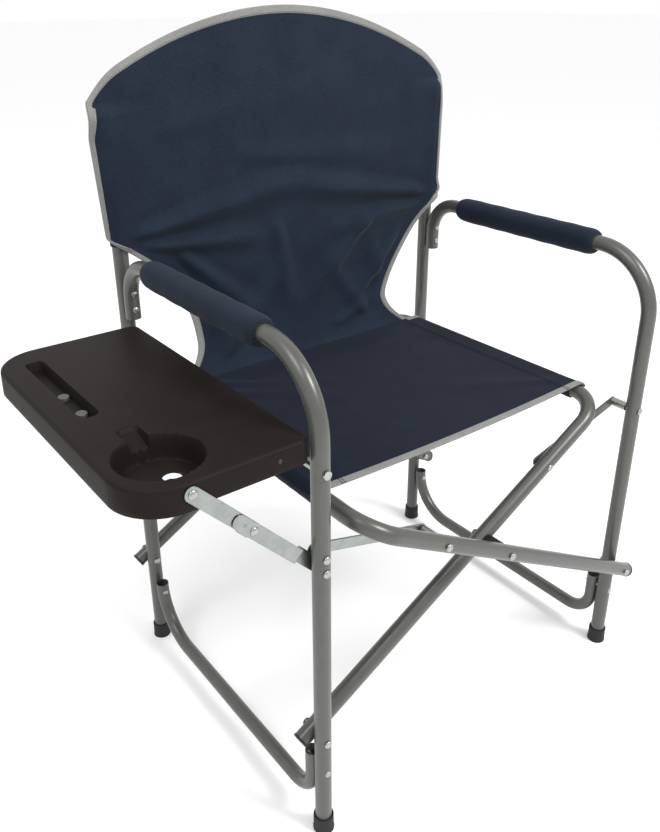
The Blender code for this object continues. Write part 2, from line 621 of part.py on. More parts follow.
def table_top():
    """Moulded shell: skirted top with a sunk cup, a notch for its handle, and a long tray."""
    skirt_z = TABLE_TOP_Z - TABLE_SKIRT
    under_z = TABLE_TOP_Z - TABLE_TOP_THICKNESS
    above = TABLE_TOP_Z + CUT_PAST
    below = skirt_z - CUT_PAST
    cup_floor = TABLE_TOP_Z - CUP_DEPTH
    notch_floor = TABLE_TOP_Z - NOTCH_DEPTH
    tray_floor = TABLE_TOP_Z - TRAY_DEPTH
    half_notch = NOTCH_WIDTH / 2
    tray_low, tray_high = TRAY_X - TRAY_WIDTH / 2, TRAY_X + TRAY_WIDTH / 2
    overlap = TABLE_TOP_THICKNESS / 2
    wall = TABLE_WALL

    top = slab("table_top", table_outline(0.0), skirt_z, TABLE_TOP_Z)
    combine(top, slab("table_hollow", table_outline(wall), below, under_z), "DIFFERENCE")

    tray_box = box_outline(tray_low - wall, tray_high + wall, TRAY_FRONT_Y - wall, TRAY_REAR_Y + wall,
                           RECESS_CORNER)
    combine(top, slab("tray_body", tray_box, tray_floor - wall, under_z + overlap), "UNION")
    notch_box = box_outline(CUP_X - half_notch - wall, CUP_X + half_notch + wall, CUP_Y,
                            NOTCH_END_Y + wall, RECESS_CORNER)
    combine(top, slab("notch_body", notch_box, notch_floor - wall, under_z + overlap), "UNION")
    cup_wall = circle(CUP_X, CUP_Y, CUP_RADIUS + wall, 24)
    combine(top, slab("cup_body", cup_wall, cup_floor - wall, under_z + overlap), "UNION")

    tray_hole = box_outline(tray_low, tray_high, TRAY_FRONT_Y, TRAY_REAR_Y, RECESS_CORNER)
    combine(top, slab("tray_cut", tray_hole, tray_floor, above), "DIFFERENCE")
    notch_hole = box_outline(CUP_X - half_notch, CUP_X + half_notch, CUP_Y, NOTCH_END_Y, RECESS_CORNER)
    combine(top, slab("notch_cut", notch_hole, notch_floor, above), "DIFFERENCE")
    combine(top, slab("cup_cut", circle(CUP_X, CUP_Y, CUP_RADIUS, 24), cup_floor, above), "DIFFERENCE")
    combine(top, slab("drain_cut", circle(CUP_X, CUP_Y, DRAIN_RADIUS), below, above), "DIFFERENCE")

    for y in (TABLE_FRONT_Y, TABLE_REAR_Y):
        bore(top, STAY_TABLE_X, STAY_TABLE_Z, y, PIN_RADIUS + PIN_CLEARANCE)
    place(top, "table", TABLE_PLASTIC)


def table_hinge():
    """Rod riveted into the front leg and the rear post, and two clips that hang the table on it."""
    leg_face = LEG_Y + LEG_RADIUS + GAP
    rod_end = LEG_Y - LEG_RADIUS - GAP
    sections = [(-leg_face - HEAD_HEIGHT, HEAD_RADIUS), (-leg_face, PIN_RADIUS), (-rod_end, HINGE_ROD_RADIUS),
                (rod_end, PIN_RADIUS), (leg_face, HEAD_RADIUS)]
    rod = stepped_pin("hinge_rod", -LEG_X, HINGE_Z, sections, leg_face + HEAD_HEIGHT)
    place(rod, "right_frame", FRAME_PAINT)

    tongue_top = TABLE_TOP_Z - TABLE_SKIRT - GAP
    for name, y in zip(("front", "rear"), CLIP_YS):
        half = CLIP_LENGTH / 2
        clip = ring("hinge_clip_" + name, HINGE_ROD_RADIUS + PIN_CLEARANCE, CLIP_RADIUS, -half, half)
        clip.rotation_euler = ACROSS_Y
        clip.location = (-LEG_X, y, HINGE_Z)
        tongue = slab("tongue_" + name, box_outline(-LEG_X - CLIP_REACH, -LEG_X, y - half, y + half, CLIP_CORNER),
                      tongue_top - CLIP_TONGUE, tongue_top)
        combine(clip, tongue, "UNION")
        place(clip, "table", BLACK_PLASTIC)


def table_stay(end, face_y, outward, leg_face_y):
    """Two-piece folding stay. outward is -1 where the bars lie in front of the skirt, +1 behind it."""
    first = face_y + outward * GAP
    second = first + outward * STAY_THICKNESS
    upper_y = sorted((first, second))
    upper = strap("stay_upper_" + end, (STAY_TABLE_X, STAY_TABLE_Z, ELBOW_X, ELBOW_Z), STAY_WIDTH,
                  upper_y[0], upper_y[1], [(STAY_TABLE_X, STAY_TABLE_Z)])
    place(upper, "stay_upper", ZINC)

    # The lower bar: a ribbon along the stay's slope that jogs from the leg's face to the skirt's.
    outer_y = second + outward * (GAP + STAY_THICKNESS / 2)
    foot_y = leg_face_y
    length = STAY_LOWER + STAY_OVERLAP
    jog_end = STAY_JOG_START + STAY_JOG_RUN
    run = [(-STAY_WIDTH, foot_y), (STAY_JOG_START, foot_y), (jog_end, outer_y), (length + STAY_WIDTH, outer_y)]
    mesh = bpy.data.meshes.new("stay_lower_" + end)
    half = STAY_WIDTH
    along = Vector((math.cos(STAY_SLOPE), 0.0, math.sin(STAY_SLOPE)))
    across = Vector((-math.sin(STAY_SLOPE), 0.0, math.cos(STAY_SLOPE)))
    foot = Vector((STAY_FOOT_X, 0.0, STAY_FOOT_Z))
    lines = [[foot + along * r + across * side + Vector((0.0, y, 0.0)) for r, y in run]
             for side in (-half, half)]
    faces = [(k, k + 1, k + 1 + len(run), k + len(run)) for k in range(len(run) - 1)]
    mesh.from_pydata(lines[0] + lines[1], [], faces)
    lower = bpy.data.objects.new("stay_lower_" + end, mesh)
    PARTS.objects.link(lower)
    thick = lower.modifiers.new("thickness", "SOLIDIFY")
    thick.thickness = STAY_THICKNESS
    thick.offset = 0.0
    depth = 2 * CUT_PAST + 2 * abs(outer_y - foot_y)
    tip_x = STAY_FOOT_X + length * along.x
    tip_z = STAY_FOOT_Z + length * along.z
    plan = strap("stay_plan_" + end, (STAY_FOOT_X, STAY_FOOT_Z, tip_x, tip_z), STAY_WIDTH,
                 foot_y - depth / 2, foot_y + depth / 2, [(STAY_FOOT_X, STAY_FOOT_Z), (ELBOW_X, ELBOW_Z)])
    combine(lower, plan, "INTERSECT")
    place(lower, "stay_lower", ZINC)

    # Rivets: elbow (held by the lower bar), table end, and foot.
    turn = 0.0 if outward < 0 else HALF_TURN
    flip = math.cos(turn)
    elbow_front = -abs(outer_y) - STAY_THICKNESS / 2 - GAP
    elbow_back = -abs(outer_y) + STAY_THICKNESS / 2
    elbow = stepped_pin("elbow_rivet_" + end, ELBOW_X * flip, ELBOW_Z,
                        [(elbow_front - HEAD_HEIGHT, HEAD_RADIUS), (elbow_front, PIN_RADIUS)], elbow_back, turn)
    place(elbow, "stay_lower", ZINC)

    skirt_inside = -abs(face_y) + TABLE_WALL + GAP
    bar_front = -abs(second) - GAP
    rivet = stepped_pin("table_rivet_" + end, STAY_TABLE_X * flip, STAY_TABLE_Z,
                        [(bar_front - HEAD_HEIGHT, HEAD_RADIUS), (bar_front, PIN_RADIUS),
                         (skirt_inside, HEAD_RADIUS)], skirt_inside + HEAD_HEIGHT, turn)
    place(rivet, "table", ZINC)

    leg_front = -LEG_Y - LEG_RADIUS - GAP
    bar_back = -abs(foot_y) + STAY_THICKNESS / 2 + GAP
    pin = stepped_pin("stay_foot_pin_" + end, STAY_FOOT_X * flip, STAY_FOOT_Z,
                      [(leg_front - HEAD_HEIGHT, HEAD_RADIUS), (leg_front, PIN_RADIUS),
                       (bar_back, HEAD_RADIUS)], bar_back + HEAD_HEIGHT, turn)
    place(pin, "right_frame", ZINC)


# ---------------------------------------------------------------- fabric
def seat_panel():
    """Taut seat with a sewn hem round each seat rail."""
    low = SEAT_RAIL_Z + LEG_RADIUS + GAP
    panel = slab("seat_panel", box_outline(-SEAT_RAIL_X, SEAT_RAIL_X, SEAT_FRONT_Y, SEAT_REAR_Y, PANEL_CORNER),
                 low, low + FABRIC)
    for x in (-SEAT_RAIL_X, SEAT_RAIL_X):
        hem = ring("hem", LEG_RADIUS + GAP, LEG_RADIUS + GAP + FABRIC, -HEM_HALF_LENGTH, HEM_HALF_LENGTH,
                   HEM_STEPS)
        hem.rotation_euler = (ACROSS_Y[0], math.pi / HEM_STEPS, 0.0)   # a flat, not a ridge, on top
        hem.location = (x, 0.0, SEAT_RAIL_Z)
        combine(panel, hem, "UNION")
    place(panel, "seat", NAVY_FABRIC)


def back_half_width(z):
    """Half the back's width: an arc over the crown, straight at the posts, then a curved waist."""
    if z > POCKET_TOP_Z:
        arc_centre = BACK_CROWN_Z - BACK_ARC_RADIUS
        return min(BACK_HALF_WIDTH, math.sqrt(max(0.0, BACK_ARC_RADIUS ** 2 - (z - arc_centre) ** 2)))
    between_pockets = LEG_X - POCKET_RADIUS - GAP
    if z >= BACK_SIDE_LOW_Z:
        return between_pockets
    if z >= WAIST_Z:
        share = (z - WAIST_Z) / (BACK_SIDE_LOW_Z - WAIST_Z)
        return min(between_pockets, WAIST_HALF_WIDTH + (BACK_HALF_WIDTH - WAIST_HALF_WIDTH) * share ** 1.5)
    share = (WAIST_Z - z) / (WAIST_Z - SEAT_TOP_Z)
    return WAIST_HALF_WIDTH + (WAIST_FOOT_HALF_WIDTH - WAIST_HALF_WIDTH) * share ** 2


def back_depth(z):
    """The back stands in the posts' plane and runs forward to the seat's rear edge below."""
    if z >= BACK_CURVE_Z:
        return LEG_Y
    share = (BACK_CURVE_Z - z) / (BACK_CURVE_Z - SEAT_TOP_Z)
    return LEG_Y - (LEG_Y - SEAT_REAR_Y - 2 * FABRIC) * share ** 2


def back_panel():
    """Loft of level rows from the seat to the crown, thickened to the fabric."""
    low = SEAT_TOP_Z + FABRIC
    rows = [low + (BACK_SIDE_LOW_Z - low) * k / BACK_ROWS for k in range(BACK_ROWS + 1)]
    rows += [POCKET_TOP_Z, POCKET_TOP_Z + 2 * GAP]
    arc_centre = BACK_CROWN_Z - BACK_ARC_RADIUS
    first = math.asin((rows[-1] - arc_centre) / BACK_ARC_RADIUS)
    step = (CROWN_END - first) / BACK_ROWS
    rows += [arc_centre + BACK_ARC_RADIUS * math.sin(first + step * k) for k in range(1, BACK_ROWS + 1)]
    columns = BACK_COLUMNS
    points = []
    for z in rows:
        half = back_half_width(z)
        points += [(half * (2 * k / columns - 1), back_depth(z), z) for k in range(columns + 1)]
    stride = columns + 1
    faces = [(r * stride + c, r * stride + c + 1, (r + 1) * stride + c + 1, (r + 1) * stride + c)
             for r in range(len(rows) - 1) for c in range(columns)]
    mesh = bpy.data.meshes.new("back_panel")
    mesh.from_pydata(points, [], faces)
    panel = bpy.data.objects.new("back_panel", mesh)
    PARTS.objects.link(panel)
    thick = panel.modifiers.new("thickness", "SOLIDIFY")
    thick.thickness = FABRIC
    thick.offset = 0.0
    place(panel, "right_frame", NAVY_FABRIC)


def back_pocket(side, sign, body):
    """Sewn pocket, closed on top, that slips over a rear post."""
    inner = LEG_RADIUS + GAP
    roof = POCKET_TOP_Z - FABRIC
    profile = [(0.0, POCKET_TOP_Z), (POCKET_RADIUS, POCKET_TOP_Z), (POCKET_RADIUS, BACK_SIDE_LOW_Z),
               (inner, BACK_SIDE_LOW_Z), (inner, roof), (0.0, roof)]
    pocket = turned("back_pocket_" + side, profile)
    pocket.location = (sign * LEG_X, LEG_Y, 0.0)
    place(pocket, body, NAVY_FABRIC)


# ---------------------------------------------------------------- the chair
clear_scene()
PARTS = new_collection("camp_chair")
CUTTERS = new_collection("cutters")
CHAIR, EMPTIES = body_empties()

FRAME_PAINT = new_material("warm grey paint", 0.17, 0.16, 0.15, 0.42, 0.3)
ZINC = new_material("zinc plate", 0.42, 0.46, 0.46, 0.35, 0.9)
BLACK_RUBBER = new_material("black rubber", 0.012, 0.012, 0.012, 0.8)
BLACK_PLASTIC = new_material("black plastic", 0.014, 0.014, 0.014, 0.5)
TABLE_PLASTIC = new_material("table plastic", 0.03, 0.027, 0.025, 0.45)
FOAM = new_material("black foam", 0.02, 0.02, 0.02, 0.9)
NAVY_FABRIC = new_material("navy polyester", 0.035, 0.052, 0.088, 0.85)

side_frame("right", -1, "right_frame")
side_frame("left", 1, "left_frame")
cross_frame("frame_a", 0.0)
cross_frame("frame_b", HALF_TURN)
scissor_fittings("front", 0.0)
scissor_fittings("rear", HALF_TURN)
link("link_front_left", "left_links", "frame_a", 1, True, False, 0.0)
link("link_front_right", "right_links", "frame_b", -1, False, True, 0.0)
link("link_rear_right", "right_links", "frame_b", 1, True, True, HALF_TURN)
link("link_rear_left", "left_links", "frame_a", -1, False, False, HALF_TURN)
table_top()
table_hinge()
leg_face = LEG_Y - LEG_RADIUS - GAP - STAY_THICKNESS / 2
table_stay("front", TABLE_FRONT_Y, -1, -leg_face)
table_stay("rear", TABLE_REAR_Y, 1, leg_face)
seat_panel()
back_panel()
back_pocket("right", -1, "right_frame")
back_pocket("left", 1, "left_frame")
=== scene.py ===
"""Looks of the folding camp chair: drawn tubes, fabric sling, padded arms, moulded side table and fittings.

Metres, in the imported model's frame. The chair's own centre line is at x = MID_X, the sitter faces -Y and the
table is on the -X side. Places come from the frame's nodes and joints.
"""
import json
import math

import bmesh
import bpy
import numpy as np
from mathutils import Matrix, Vector


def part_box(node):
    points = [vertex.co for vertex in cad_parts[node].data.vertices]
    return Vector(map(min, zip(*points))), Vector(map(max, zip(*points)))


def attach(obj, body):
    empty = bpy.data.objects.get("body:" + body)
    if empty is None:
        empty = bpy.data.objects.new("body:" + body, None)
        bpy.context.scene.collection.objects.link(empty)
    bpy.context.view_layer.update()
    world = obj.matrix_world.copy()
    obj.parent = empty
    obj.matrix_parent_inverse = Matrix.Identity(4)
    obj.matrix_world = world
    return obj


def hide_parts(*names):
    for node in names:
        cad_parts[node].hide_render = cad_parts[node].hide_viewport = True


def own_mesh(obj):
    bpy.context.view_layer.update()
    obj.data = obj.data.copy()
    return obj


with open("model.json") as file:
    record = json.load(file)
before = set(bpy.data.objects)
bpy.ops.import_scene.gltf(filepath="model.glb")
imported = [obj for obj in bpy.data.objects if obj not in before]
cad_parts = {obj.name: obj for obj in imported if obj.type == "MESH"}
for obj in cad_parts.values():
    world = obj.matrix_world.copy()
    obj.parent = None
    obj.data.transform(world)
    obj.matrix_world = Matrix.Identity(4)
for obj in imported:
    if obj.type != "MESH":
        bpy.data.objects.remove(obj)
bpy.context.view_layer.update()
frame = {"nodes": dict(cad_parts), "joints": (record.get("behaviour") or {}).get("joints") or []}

# ---------------------------------------------------------------- places taken from the frame
JOINT = {joint["name"]: joint["pos_m"] for joint in frame["joints"]}
MID_X = JOINT["cross"][0]
RIGHT_X = JOINT["fold"][0]
LEFT_X = JOINT["left_pivot"][0]
LOWER_Z = JOINT["fold"][2]
CROSS_Z = JOINT["cross"][2]
RAIL_X = JOINT["seat_level"][0] - MID_X
RAIL_Z = JOINT["seat_level"][2]
LINK_Z = JOINT["left_link_turn"][2]
HINGE = JOINT["table_drop"]
STAY_TABLE = JOINT["stay_upper_turn"]
STAY_FOOT = JOINT["stay_lower_turn"]


def middle(node):
    low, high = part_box(node)
    return (low + high) / 2


LEG_Y = middle("rear_post_left").y
LEG_RADIUS = (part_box("rear_post_left")[1].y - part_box("rear_post_left")[0].y) / 2
LEG_FOOT_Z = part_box("rear_post_left")[0].z
POST_TOP_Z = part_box("rear_post_left")[1].z
ARM_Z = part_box("arm_tube_left")[1].z - LEG_RADIUS
PLANE_STEP = 2 * LEG_RADIUS + 0.0005
HALF_X = LEFT_X - MID_X
TILT = math.atan2(CROSS_Z - LOWER_Z, HALF_X)
SEAT_LOW, SEAT_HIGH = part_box("seat_panel")
POCKET_LOW_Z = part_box("back_pocket_left")[0].z
POCKET_TOP_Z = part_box("back_pocket_left")[1].z
TABLE_LOW, TABLE_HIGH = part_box("table_top")

TUBE_SIDES = 32
TUBE_WALL = 0.0012
RAIL_TUBE_RADIUS = 0.0095
FABRIC = 0.0015
TAPE_WIDTH = 0.011
TAPE_THICKNESS = 0.0034


# ---------------------------------------------------------------- materials
def linear(code, alpha=1.0):
    """sRGB hex to linear: each channel is c / 12.92 below 0.04045, else ((c + 0.055) / 1.055) ** 2.4."""
    channels = [int(code[k:k + 2], 16) / 255 for k in (1, 3, 5)]
    return tuple(c / 12.92 if c <= 0.04045 else ((c + 0.055) / 1.055) ** 2.4 for c in channels) + (alpha,)


def add(tree, kind, links=None, **settings):
    """One node with its settings; links gives each input a value or another node's socket."""
    made = tree.nodes.new(kind)
    for key, value in settings.items():
        setattr(made, key, value)
    for key, value in (links or {}).items():
        if isinstance(value, bpy.types.NodeSocket):
            tree.links.new(value, made.inputs[key])
        else:
            made.inputs[key].default_value = value
    return made


def material(name, **sockets):
    made = bpy.data.materials.new(name)
    made.use_nodes = True
    shader = made.node_tree.nodes["Principled BSDF"]
    for key, value in sockets.items():
        shader.inputs[key.replace("_", " ")].default_value = value
    return made, made.node_tree, shader


def mottled(tree, where, scale, dark, light, detail=3.0):
    """A colour that drifts between two shades with noise of that scale."""
    noise = add(tree, "ShaderNodeTexNoise", {"Vector": where, "Scale": scale, "Detail": detail})
    return add(tree, "ShaderNodeMix", {"Factor": noise.outputs["Fac"], 6: linear(dark), 7: linear(light)},
               data_type="RGBA").outputs[2]


def bumped(tree, shader, height, strength, distance):
    bump = add(tree, "ShaderNodeBump", {"Height": height, "Strength": strength, "Distance": distance})
    tree.links.new(bump.outputs["Normal"], shader.inputs["Normal"])
    return bump


def powder_coat():
    """Baked powder coat on drawn steel: satin, a faint orange peel about 2 mm across."""
    made, tree, shader = material("satin_powder_coat", Roughness=0.32, Metallic=0.25, Coat_Weight=0.12,
                                  Coat_Roughness=0.25)
    where = add(tree, "ShaderNodeTexCoord").outputs["Object"]
    tree.links.new(mottled(tree, where, 60.0, "#494a46", "#535450"), shader.inputs["Base Color"])
    peel = add(tree, "ShaderNodeTexNoise", {"Vector": where, "Scale": 480.0, "Detail": 2.0})
    bumped(tree, shader, peel.outputs["Fac"], 0.12, 0.0004)
    return made


def zinc_plate():
    """Bright zinc on pressed strip: bluish white, with cloudy patches."""
    made, tree, shader = material("zinc_plated_strip", Roughness=0.33, Metallic=1.0)
    where = add(tree, "ShaderNodeTexCoord").outputs["Object"]
    tree.links.new(mottled(tree, where, 90.0, "#7c8381", "#9da29f"), shader.inputs["Base Color"])
    cloud = add(tree, "ShaderNodeTexNoise", {"Vector": where, "Scale": 220.0, "Detail": 4.0})
    rough = add(tree, "ShaderNodeMapRange", {"Value": cloud.outputs["Fac"], "To Min": 0.24, "To Max": 0.46})
    tree.links.new(rough.outputs["Result"], shader.inputs["Roughness"])
    bumped(tree, shader, cloud.outputs["Fac"], 0.15, 0.0002)
    return made


def rivet_steel():
    """Upset steel rivet: brighter and smoother than the strip, dulled a little by the press."""
    made, tree, shader = material("upset_rivet_steel", Roughness=0.3, Metallic=1.0)
    where = add(tree, "ShaderNodeTexCoord").outputs["Object"]
    tree.links.new(mottled(tree, where, 400.0, "#8d8c88", "#b7b6b2"), shader.inputs["Base Color"])
    return made


def dull_black(name, dark, light, roughness, scale, depth):
    """Black moulding, rubber or foam: two near blacks and a fine surface grain of that scale."""
    made, tree, shader = material(name, Roughness=roughness)
    where = add(tree, "ShaderNodeTexCoord").outputs["Object"]
    tree.links.new(mottled(tree, where, scale / 6, dark, light), shader.inputs["Base Color"])
    grain = add(tree, "ShaderNodeTexNoise", {"Vector": where, "Scale": scale, "Detail": 2.0})
    bumped(tree, shader, grain.outputs["Fac"], 0.35, depth)
    return made


def woven(name, dark, light, cell, wrinkle, sheen=0.05, roughness=0.88):
    """Plain weave: height is sin(pi u / cell) times sin(pi v / cell), so threads rise in alternate cells.

    Broad noise adds the cloth's soft unevenness. The cell is drawn near twice a real thread so it shows.
    """
    made, tree, shader = material(name, Roughness=roughness, Sheen_Weight=sheen, Sheen_Roughness=0.45,
                                  Specular_IOR_Level=0.12)
    place = add(tree, "ShaderNodeTexCoord")
    split = add(tree, "ShaderNodeSeparateXYZ", {"Vector": place.outputs["UV"]})
    waves = []
    for axis in ("X", "Y"):
        phase = add(tree, "ShaderNodeMath", {0: split.outputs[axis], 1: math.pi / cell}, operation="MULTIPLY")
        waves.append(add(tree, "ShaderNodeMath", {0: phase.outputs[0]}, operation="SINE").outputs[0])
    threads = add(tree, "ShaderNodeMath", {0: waves[0], 1: waves[1]}, operation="MULTIPLY").outputs[0]
    slub = add(tree, "ShaderNodeTexNoise", {"Vector": place.outputs["Object"], "Scale": 700.0, "Detail": 2.0})
    cloud = add(tree, "ShaderNodeTexNoise", {"Vector": place.outputs["Object"], "Scale": 18.0, "Detail": 4.0})
    tone = add(tree, "ShaderNodeMath", {0: threads, 1: 0.16, 2: slub.outputs["Fac"]},
               operation="MULTIPLY_ADD")
    blend = add(tree, "ShaderNodeMath", {0: cloud.outputs["Fac"], 1: 0.5, 2: tone.outputs[0]},
                operation="MULTIPLY_ADD")
    share = add(tree, "ShaderNodeMapRange", {"Value": blend.outputs[0], "From Min": 0.45, "From Max": 1.05})
    mix = {"Factor": share.outputs["Result"], 6: linear(dark), 7: linear(light)}
    colour = add(tree, "ShaderNodeMix", mix, data_type="RGBA")
    tree.links.new(colour.outputs[2], shader.inputs["Base Color"])
    soft = add(tree, "ShaderNodeBump", {"Height": cloud.outputs["Fac"], "Strength": 0.5, "Distance": wrinkle})
    fine = bumped(tree, shader, threads, 0.45, 0.00035)
    tree.links.new(soft.outputs["Normal"], fine.inputs["Normal"])
    return made


def grained_polypropylene():
    """Injection moulded polypropylene: warm black, spark-eroded grain near half a millimetre."""
    made, tree, shader = material("grained_polypropylene", Roughness=0.5, Specular_IOR_Level=0.06)
    where = add(tree, "ShaderNodeTexCoord").outputs["Object"]
    tree.links.new(mottled(tree, where, 30.0, "#1a1614", "#221d1b"), shader.inputs["Base Color"])
    grain = add(tree, "ShaderNodeTexNoise", {"Vector": where, "Scale": 900.0, "Detail": 2.0})
    bumped(tree, shader, grain.outputs["Fac"], 0.3, 0.0003)
    return made


POWDER_COAT = powder_coat()
ZINC = zinc_plate()
RIVET = rivet_steel()
RUBBER = dull_black("moulded_rubber", "#0e0e0e", "#191918", 0.75, 500.0, 0.0003)
NYLON = dull_black("moulded_nylon", "#101010", "#1b1b1b", 0.42, 600.0, 0.0001)
FOAM = dull_black("closed_cell_foam", "#0b0b0c", "#1c1c1d", 0.95, 900.0, 0.0008)
POLYPROPYLENE = grained_polypropylene()
DISC_GREY = dull_black("grey_nylon_disc", "#454442", "#545350", 0.5, 500.0, 0.0001)
NAVY = woven("navy_oxford_polyester", "#121924", "#212a38", 0.0011, 0.0035)
# The seat's cloth is the same navy as the back, drawn darker here as painted shade on the seat.
SEAT_NAVY_PAINTED_SHADE = woven("dark_navy_polyester", "#09101c", "#121b2a", 0.0011, 0.003)
TAPE = woven("grey_twill_tape", "#6a6a68", "#8a8a88", 0.0009, 0.0006)
THREAD = woven("dark_sewing_thread", "#0b0e13", "#171b22", 0.0004, 0.0001)
GREY_THREAD = woven("grey_sewing_thread", "#50504f", "#666665", 0.0004, 0.0001)


# ---------------------------------------------------------------- mesh helpers
def unit(vectors):
    return vectors / np.maximum(np.linalg.norm(vectors, axis=-1, keepdims=True), 1e-12)


def smooth(share):
    """0 below 0 and 1 above 1, easing between as 3 s^2 - 2 s^3."""
    share = np.clip(share, 0.0, 1.0)
    return share * share * (3 - 2 * share)


def grid_quads(rows, columns):
    corner = (np.arange(rows - 1)[:, None] * columns + np.arange(columns - 1)[None, :]).reshape(-1)
    return np.stack([corner, corner + 1, corner + columns + 1, corner + columns], axis=1)


def surface(name, grids, finish, uvs=None, sharp=40.0):
    """One mesh from grids of points (rows, columns, 3). Rows or columns that meet are welded, so a grid
    whose last column repeats its first is a closed tube. uvs are in metres along the cloth."""
    points, faces, maps, start = [], [], [], 0
    for index, grid in enumerate(grids):
        rows, columns = grid.shape[:2]
        points.append(grid.reshape(-1, 3))
        faces.append(grid_quads(rows, columns) + start)
        maps.append(uvs[index].reshape(-1, 2) if uvs is not None else np.zeros((rows * columns, 2)))
        start += rows * columns
    points, faces, maps = np.concatenate(points), np.concatenate(faces), np.concatenate(maps)
    mesh = bpy.data.meshes.new(name)
    mesh.from_pydata(points.tolist(), [], faces.tolist())
    if uvs is not None:
        layer = mesh.uv_layers.new(name="cloth")
        layer.data.foreach_set("uv", maps[faces.reshape(-1)].astype(np.float32).reshape(-1))
    shape = bmesh.new()
    shape.from_mesh(mesh)
    bmesh.ops.remove_doubles(shape, verts=shape.verts, dist=2e-6)
    bmesh.ops.dissolve_degenerate(shape, edges=shape.edges, dist=1e-7)
    bmesh.ops.recalc_face_normals(shape, faces=shape.faces)
    shape.to_mesh(mesh)
    shape.free()
    mesh.shade_smooth()
    mesh.set_sharp_from_angle(angle=math.radians(sharp))
    mesh.materials.append(finish)
    made = bpy.data.objects.new(name, mesh)
    bpy.context.scene.collection.objects.link(made)
    return made


def apply_modifiers(made):
    """Replace the mesh by its evaluated one."""
    bpy.context.view_layer.update()
    done = bpy.data.meshes.new_from_object(made.evaluated_get(bpy.context.evaluated_depsgraph_get()))
    made.modifiers.clear()
    made.data = done
    return made


def fillet(corners, radii, steps=14):
    """Straight runs joined by arcs tangent to both sides at each corner that has a radius."""
    corners = [Vector(corner) for corner in corners]
    points = []
    for index, corner in enumerate(corners):
        radius = radii[index]
        if radius == 0:
            points.append(corner)
            continue
        before = (corners[index - 1] - corner).normalized()
        after = (corners[(index + 1) % len(corners)] - corner).normalized()
        half = before.angle(after) / 2
        centre = corner + (before + after).normalized() * (radius / math.sin(half))
        start = corner + before * (radius / math.tan(half)) - centre
        finish = corner + after * (radius / math.tan(half)) - centre
        sweep = start.angle(finish)
        for step in range(steps + 1):
            share = step / steps
            arm = (start * math.sin((1 - share) * sweep) + finish * math.sin(share * sweep)) / math.sin(sweep)
            points.append(centre + arm)
    return np.array([list(point) for point in points])


def spaced(path, step):
    """The path again with points about a step apart, by linear interpolation on its length."""
    run = np.concatenate([[0.0], np.cumsum(np.linalg.norm(np.diff(path, axis=0), axis=1))])
    places = np.linspace(0.0, run[-1], max(2, int(round(run[-1] / step)) + 1))
    return np.stack([np.interp(places, run, path[:, axis]) for axis in range(3)], axis=1)


def directions(path):
    """Unit tangent at each point, and two normals carried along without twist."""
    runs = unit(np.diff(path, axis=0))
    tangent = unit(np.concatenate([runs[:1], runs[:-1] + runs[1:], runs[-1:]]))
    side = np.empty_like(path)
    side[0] = unit(np.cross(tangent[0], (0.31, 0.52, 0.79)))
    for k in range(1, len(path)):
        side[k] = unit(side[k - 1] - tangent[k] * np.dot(side[k - 1], tangent[k]))
    return tangent, side, np.cross(tangent, side)


def rings(path, radius, sides=TUBE_SIDES):
    """Circles of the radius about each path point, across the path; the last column repeats the first."""
    _, side, up = directions(path)
    turn = np.linspace(0.0, 2 * math.pi, sides + 1)
    radius = np.broadcast_to(radius, len(path))[:, None, None]
    return path[:, None] + radius * (np.cos(turn)[None, :, None] * side[:, None]
                                     + np.sin(turn)[None, :, None] * up[:, None])


def steel_tube(name, path, radius, body, node=None):
    """Hollow tube: circles carried along the path, back again inside the wall, and joined at the ends."""
    outer, inner = rings(path, radius), rings(path, radius - TUBE_WALL)
    wall = np.concatenate([outer, inner[::-1], outer[:1]])
    made = surface(name, [wall], POWDER_COAT)
    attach(made, body)
    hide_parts(node or name.replace("tube_of_", ""))
    return made


def turned(name, profile, origin, along, finish, sides=40, sharp=40.0):
    """A profile of (distance along, radius) turned about the direction, closed where the radius is 0."""
    profile = np.array(profile, float)
    along = unit(np.array(along, float))
    side = unit(np.cross(along, (0.31, 0.52, 0.79)))
    up = np.cross(along, side)
    turn = np.linspace(0.0, 2 * math.pi, sides + 1)
    spread = np.cos(turn)[None, :, None] * side + np.sin(turn)[None, :, None] * up
    grid = np.array(origin, float) + profile[:, 0, None, None] * along + profile[:, 1, None, None] * spread
    return surface(name, [grid], finish, sharp=sharp)


def rounded_profile(corners, radius):
    """Profile corners with an arc of the radius at each inner one; a profile starts and ends on the axis."""
    flat = [(a, b, 0.0) for a, b in corners]
    return fillet(flat, [0.0] + [radius] * (len(flat) - 2) + [0.0], steps=4)[:, :2]


def rivet(name, x, z, y_from, y_to, body, head=0.005, shoulder=None, nodes=(), finish=None):
    """A domed head at each end of a shank along Y. The dome's height is head_height * sqrt(1 - (r / head)^2)
    measured out from its rim; a shoulder is a thicker stretch of shank between two y values."""
    height, shank = 0.0021, 0.0032
    turn = np.linspace(0.0, math.pi / 2, 8)
    dome = np.stack([height * (1 - np.cos(turn)) * 0.98, head * np.sin(turn)], axis=1)
    length = abs(y_to - y_from)
    rows = list(map(tuple, dome)) + [(height + 0.0002, head), (height + 0.0002, shank)]
    if shoulder:
        first, last = sorted(abs(y - y_from) for y in shoulder)
        rows += [(first, shank), (first, 0.0063), (last, 0.0063), (last, shank)]
    rows += [(length - height - 0.0002, shank), (length - height - 0.0002, head)]
    rows += [(length - a, r) for a, r in dome[::-1]]
    along = (0.0, math.copysign(1.0, y_to - y_from), 0.0)
    made = turned(name, rows, (x, y_from, z), along, finish or RIVET, sides=24)
    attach(made, body)
    if nodes:
        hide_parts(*nodes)
    return made


